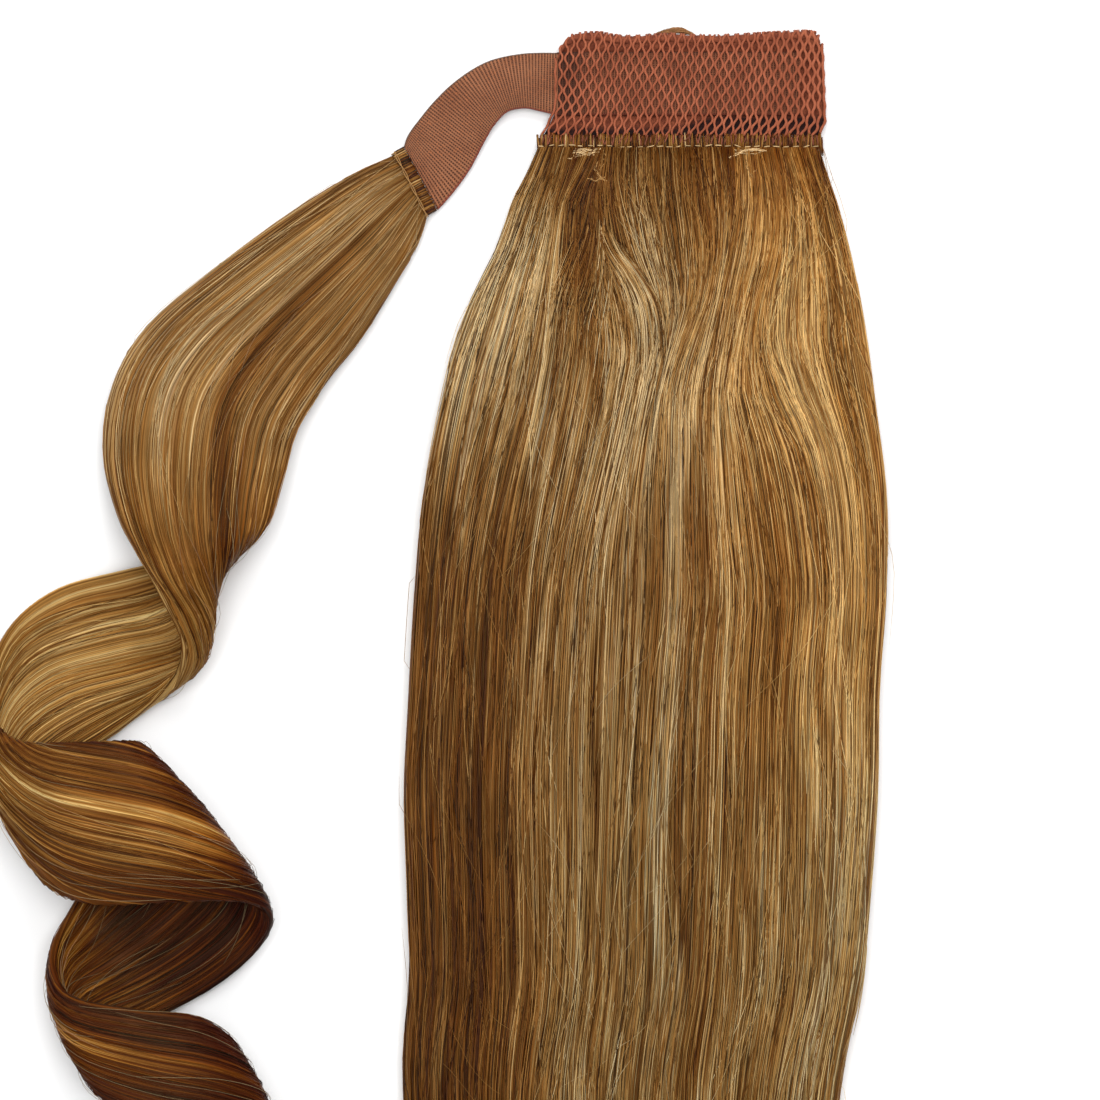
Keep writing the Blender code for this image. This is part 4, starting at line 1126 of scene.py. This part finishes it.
def thread_tangle(name, lines, count, seed, tone, spread, width=(0.2, 0.36), low=None):
    """Thread ends that lie along a few given lines, each with its own bends and reach."""
    random = np.random.default_rng(seed)
    steps = 22
    t = np.linspace(0.0, 1.0, steps)
    paths = []
    for n in range(count):
        line = np.array(lines[n % len(lines)], float)
        middle = random.uniform(0.3, 0.7)
        half = random.uniform(0.25, 0.55)
        position = np.clip(middle + half * (2 * t - 1), 0.0, 1.0) * (len(line) - 1)
        place = catmull(line, position)
        bend = random.uniform(0, TAU, 4)
        ripple = spread * 0.35 * np.stack([
            np.sin(TAU * 1.3 * t + bend[0]) + 0.5 * np.sin(TAU * 3.1 * t + bend[1]),
            np.sin(TAU * 1.6 * t + bend[2]) + 0.5 * np.sin(TAU * 2.7 * t + bend[3]),
        ], -1)
        place = place + random.normal(0.0, spread * 0.4, 2) + ripple
        ground = hair_height(place[:, 0], place[:, 1]) if low is None else low
        z = ground + 0.2 + random.uniform(0.0, 0.9) + 0.3 * np.sin(TAU * 2 * t + bend[0])
        paths.append(np.column_stack([place, z + 0 * t]))
    paths = np.array(paths)
    thick = random.uniform(*width, (count, 1)) * np.ones((count, steps))
    tones = tone * random.uniform(0.55, 1.15, (count, 1, 1)) * np.ones((count, steps, 1))
    return tubes(name, paths, thick, np.clip(tones, 0.01, 0.95), sides=4)


def turned(points, centre, angle):
    """Points given along and across a seam, turned into the model's frame."""
    c, s = math.cos(angle), math.sin(angle)
    out = points.copy()
    out[..., 0] = centre[0] + points[..., 0] * c - points[..., 1] * s
    out[..., 1] = centre[1] + points[..., 0] * s + points[..., 1] * c
    return out


def wrap_seam_loops(name):
    random = np.random.default_rng(31)
    count, steps = 64, 9
    u = np.linspace(-WRAP_SEAM_WIDTH / 2 + 0.4, WRAP_SEAM_WIDTH / 2 - 0.4, count)
    u = u + 0.22 * np.sin(u * 3.6) + random.normal(0, 0.06, count)
    t = np.linspace(0.0, 1.0, steps)[None, :]
    v = 2.2 - 5.4 * t + random.normal(0, 0.15, count)[:, None]
    z = 3.4 + 2.1 * np.sin(math.pi * np.clip(0.08 + 0.84 * t, 0, 1)) ** 0.6 + 0 * v
    paths = np.stack([u[:, None] + random.normal(0, 0.25, count)[:, None] * (t - 0.5), v, z], -1)
    paths = turned(paths, WRAP_SEAM_CENTRE, WRAP_SEAM_ANGLE)
    width = random.uniform(0.3, 0.6, count)[:, None] * np.ones_like(z)
    return tubes(name, paths, width, loop_tones(random, z.shape, 0.34, 0.18), sides=5)


def wrap_seam_threads(name):
    """Two blond threads that run along the short weft, lightly twisted."""
    t = np.linspace(0.0, 1.0, 60)
    paths = []
    for n in range(2):
        u = -WRAP_SEAM_WIDTH / 2 + (WRAP_SEAM_WIDTH + 0.8) * t
        v = -1.9 + 0.38 * np.sin(TAU * 2.2 * t + math.pi * n) - 0.5 * t
        z = 5.75 + 0.2 * np.cos(TAU * 2.2 * t + math.pi * n) - 0.8 * np.abs(2 * t - 1) ** 6
        paths.append(np.stack([u, v, z], -1))
    paths = turned(np.array(paths), WRAP_SEAM_CENTRE, WRAP_SEAM_ANGLE)
    width = np.full(paths.shape[:2], 0.36)
    tone = srgb(160, 120, 72) * np.ones((*paths.shape[:2], 3))
    return tubes(name, paths, width, tone, sides=6)


# Stage, light and camera


def plane(name, size, height, material):
    half = size / 2 / MM
    points = [(-half, -half, 0), (half, -half, 0), (half, half, 0), (-half, half, 0)]
    floor = mesh_from_arrays(name, points, [[0, 1, 2, 3]], smooth=False)
    floor.location.z = height
    floor.data.materials.append(material)
    return floor


def area_light(name, place, aim, size, power):
    light = bpy.data.lights.new(name, "AREA")
    light.shape = "RECTANGLE"
    light.size, light.size_y = size
    light.energy = power
    lamp = bpy.data.objects.new(name, light)
    lamp.location = place
    towards = np.array(aim, float) - np.array(place, float)
    lamp.rotation_mode = "QUATERNION"
    lamp.rotation_quaternion = Vector(towards).to_track_quat("-Z", "Y")
    bpy.context.scene.collection.objects.link(lamp)


def make_stage():
    g = Graph("pale_floor")
    faint = g.ramp(g.noise(g.place(), 3.0), 0.3, 0.7, 0.0, 1.0)
    pale = g.finish(g.mix(faint, (0.9, 0.9, 0.9), (0.93, 0.93, 0.93)), 0.7, 0.2)
    plane("floor", 12.0, -0.0003, pale)
    world = bpy.data.worlds.new("studio")
    world.use_nodes = True
    world.node_tree.nodes["Background"].inputs[0].default_value = (1.0, 1.0, 1.0, 1.0)
    world.node_tree.nodes["Background"].inputs[1].default_value = 0.42
    scene = bpy.context.scene
    scene.world = world
    aim = (VIEW_CENTRE[0], VIEW_CENTRE[1], 0.0)
    area_light("overhead", (aim[0] + 0.1, aim[1] + 0.3, 2.7), aim, (1.6, 1.2), 46.0)
    area_light("key", (aim[0] + 0.5, aim[1] + 1.7, 1.8), aim, (1.8, 1.3), 34.0)
    area_light("fill", (aim[0] - 1.3, aim[1] - 0.9, 1.7), aim, (1.6, 1.2), 13.0)
    scene.view_settings.view_transform = "Standard"
    camera = bpy.data.cameras.new("photo_camera")
    camera.sensor_width = SENSOR
    camera.lens = SENSOR * CAMERA_HEIGHT / VIEW_SIZE
    camera.clip_start, camera.clip_end = 0.05, 50.0
    eye = bpy.data.objects.new("photo_camera", camera)
    eye.location = (VIEW_CENTRE[0], VIEW_CENTRE[1], CAMERA_HEIGHT + 0.01)
    scene.collection.objects.link(eye)
    scene.camera = eye


def main():
    make_stage()
    golden_gloss = (1.0, 0.72, 0.34)
    hair = strand_material("hair_strand", 0.36, 0.28, tint=golden_gloss)
    skin_hair = strand_material("hair_skin", 0.42, 0.16, streaked=True, tint=golden_gloss)
    thread = strand_material("thread", 0.75, 0.25, 0.05)
    pony, curl = "ponytail_hair", "wrap_lock"

    dress(ponytail_skin("ponytail_hair_skin", 760, 120), pony, skin_hair)
    for n in (1, 2):
        strands = ponytail_hairs(f"ponytail_hair_long_{n}", 330, n, 44, None, 0.008, (-0.1, 0.6), (0.3, 0.6))
        dress(strands, pony, hair)
    for n in (1, 2):
        strands = ponytail_hairs(f"ponytail_hair_short_{n}", 1050, 10 + n, 12, (45.0, 140.0), 0.035,
                                 (0.0, 0.8), (0.24, 0.46))
        dress(strands, pony, hair)
    strands = ponytail_lock(
        "ponytail_lock_bent",
        [(-32.5, -31.0), (-29.0, -45.0), (-23.0, -57.0), (-19.0, -70.0), (-18.0, -92.0), (-20.5, -132.0)],
        [(-27.6, -31.0), (-20.5, -45.0), (-11.5, -57.0), (-5.5, -70.0), (-4.0, -92.0), (-7.0, -132.0)],
        150, 71, 1.3, 1.5)
    dress(strands, pony, hair)
    strands = ponytail_lock(
        "ponytail_lock_fanned",
        [(-32.5, -14.0), (-37.0, -34.0), (-44.0, -52.0), (-51.0, -70.0), (-56.0, -100.0)],
        [(-27.5, -24.0), (-25.5, -46.0), (-24.5, -62.0), (-27.0, -82.0), (-31.0, -112.0)],
        170, 72, 0.4, 2.0)
    dress(strands, pony, hair)
    strands = ponytail_hairs("ponytail_hair_crossing", 120, 15, 16, (40.0, 120.0), 0.11, (0.5, 1.5),
                             (0.14, 0.22), PALE_AND_SHEEN, 0.05)
    dress(strands, pony, hair)

    dress(wrap_skin("curl_skin", 440, 170), curl, skin_hair)
    for n in (1, 2):
        strands = wrap_hairs(f"curl_hair_{n}", 420, 20 + n, 24, (5.0, 11.0), 0.025, (-0.15, 0.22),
                             (0.24, 0.44))
        dress(strands, curl, hair)
        strands = wrap_hairs(f"curl_loose_hairs_{n}", 85, 30 + n, 24, (2.5, 6.0), 0.09, (0.3, 1.5),
                             (0.16, 0.24), PALE_AND_SHEEN)
        dress(strands, curl, hair)

    dress(net_threads("net_threads"), "net_band", net_material())
    lining = net_lining_material()
    dress(sleeve_back("net_back_wall"), "net_band", lining)
    dress(sleeve_fold("net_fold"), "net_band", lining)
    dress(strap_piece("elastic_ribbed"), "elastic_strap", elastic_material())

    seam = plain_material("seam_body", srgb(48, 28, 14), srgb(92, 58, 28), 700.0, 0.75)
    body = seam_bar("seam_body", SEAM_LEFT + 0.2, SEAM_RIGHT - 0.2, SEAM_TOP, SEAM_END, SEAM_LOW, 6.2)
    dress(body, "ponytail_seam", seam)
    dress(seam_loops("seam_loops"), "ponytail_seam", hair)
    dress(net_roots("net_thread_ends"), "net_band", thread)
    dress(seam_stitches("seam_stitches"), "ponytail_seam", thread)
    short = seam_bar("wrap_seam_body", -WRAP_SEAM_WIDTH / 2, WRAP_SEAM_WIDTH / 2, 2.0, -2.0, 0.6, 4.6)
    co = np.array([v.co[:] for v in short.data.vertices]) / MM
    co = turned(co, WRAP_SEAM_CENTRE, WRAP_SEAM_ANGLE) * MM
    short.data.vertices.foreach_set("co", co.astype(np.float32).ravel())
    dress(short, "wrap_seam", seam)
    dress(wrap_seam_loops("wrap_seam_loops"), "wrap_seam", hair)
    dress(wrap_seam_threads("wrap_seam_threads"), "wrap_seam", thread)

    golden = srgb(186, 142, 86)
    tangles = (
        ([[(-47.1, -9.1), (-44.5, -10.5), (-41.8, -10.9), (-39.1, -10.6), (-36.9, -9.5)]], 4, CREAM, 0.35),
        ([[(-39.1, -8.0), (-36.1, -7.6), (-33.1, -7.8), (-29.3, -7.4)],
          [(-39.5, -10.3), (-36.5, -9.1), (-33.1, -9.5), (-28.9, -8.7)]], 22, CREAM, 0.9),
        ([[(-28.5, -7.6), (-27.0, -9.9), (-27.7, -12.5), (-29.3, -14.4)],
          [(-30.0, -11.4), (-31.2, -14.4), (-29.3, -17.5), (-27.0, -19.0)],
          [(-34.6, -18.2), (-31.5, -19.0), (-28.1, -17.9)]], 20, golden, 0.8),
        ([[(20.1, -10.6), (22.8, -9.1), (26.2, -7.8), (30.0, -7.4), (33.4, -7.8)],
          [(22.0, -7.4), (24.7, -8.4), (28.5, -8.7), (32.3, -8.0)]], 16, CREAM, 0.6),
        ([[(27.0, -9.5), (25.8, -12.5), (27.0, -16.0), (28.5, -18.2)],
          [(29.6, -9.1), (32.3, -11.4), (30.8, -14.4), (27.7, -16.0)]], 8, golden, 0.6),
    )
    for n, (lines, count, tone, spread) in enumerate(tangles):
        tangle = thread_tangle(f"thread_ends_{n + 1}", lines, count, 41 + n, tone, spread)
        dress(tangle, "ponytail_seam", thread)
    wad = [[(-8.8, 36.7), (-4.6, 37.6), (0.0, 38.0), (4.2, 37.4), (6.8, 36.5)],
           [(-7.4, 37.3), (-4.0, 38.3), (0.0, 38.8), (3.6, 38.3), (5.8, 37.1)],
           [(-5.6, 37.8), (-2.0, 38.8), (1.6, 38.9), (4.4, 37.9)]]
    tangle = thread_tangle("thread_ends_fold", wad, 45, 48, srgb(146, 100, 58), 0.5, (0.4, 0.7), 2.6)
    dress(tangle, "ponytail_seam", thread)

    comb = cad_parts["comb"]
    plastic = plain_material("comb_plastic", srgb(74, 42, 26), srgb(98, 58, 36), 90.0, 0.35, 0.00005, 0.5)
    comb.data.materials.clear()
    comb.data.materials.append(plastic)


main()
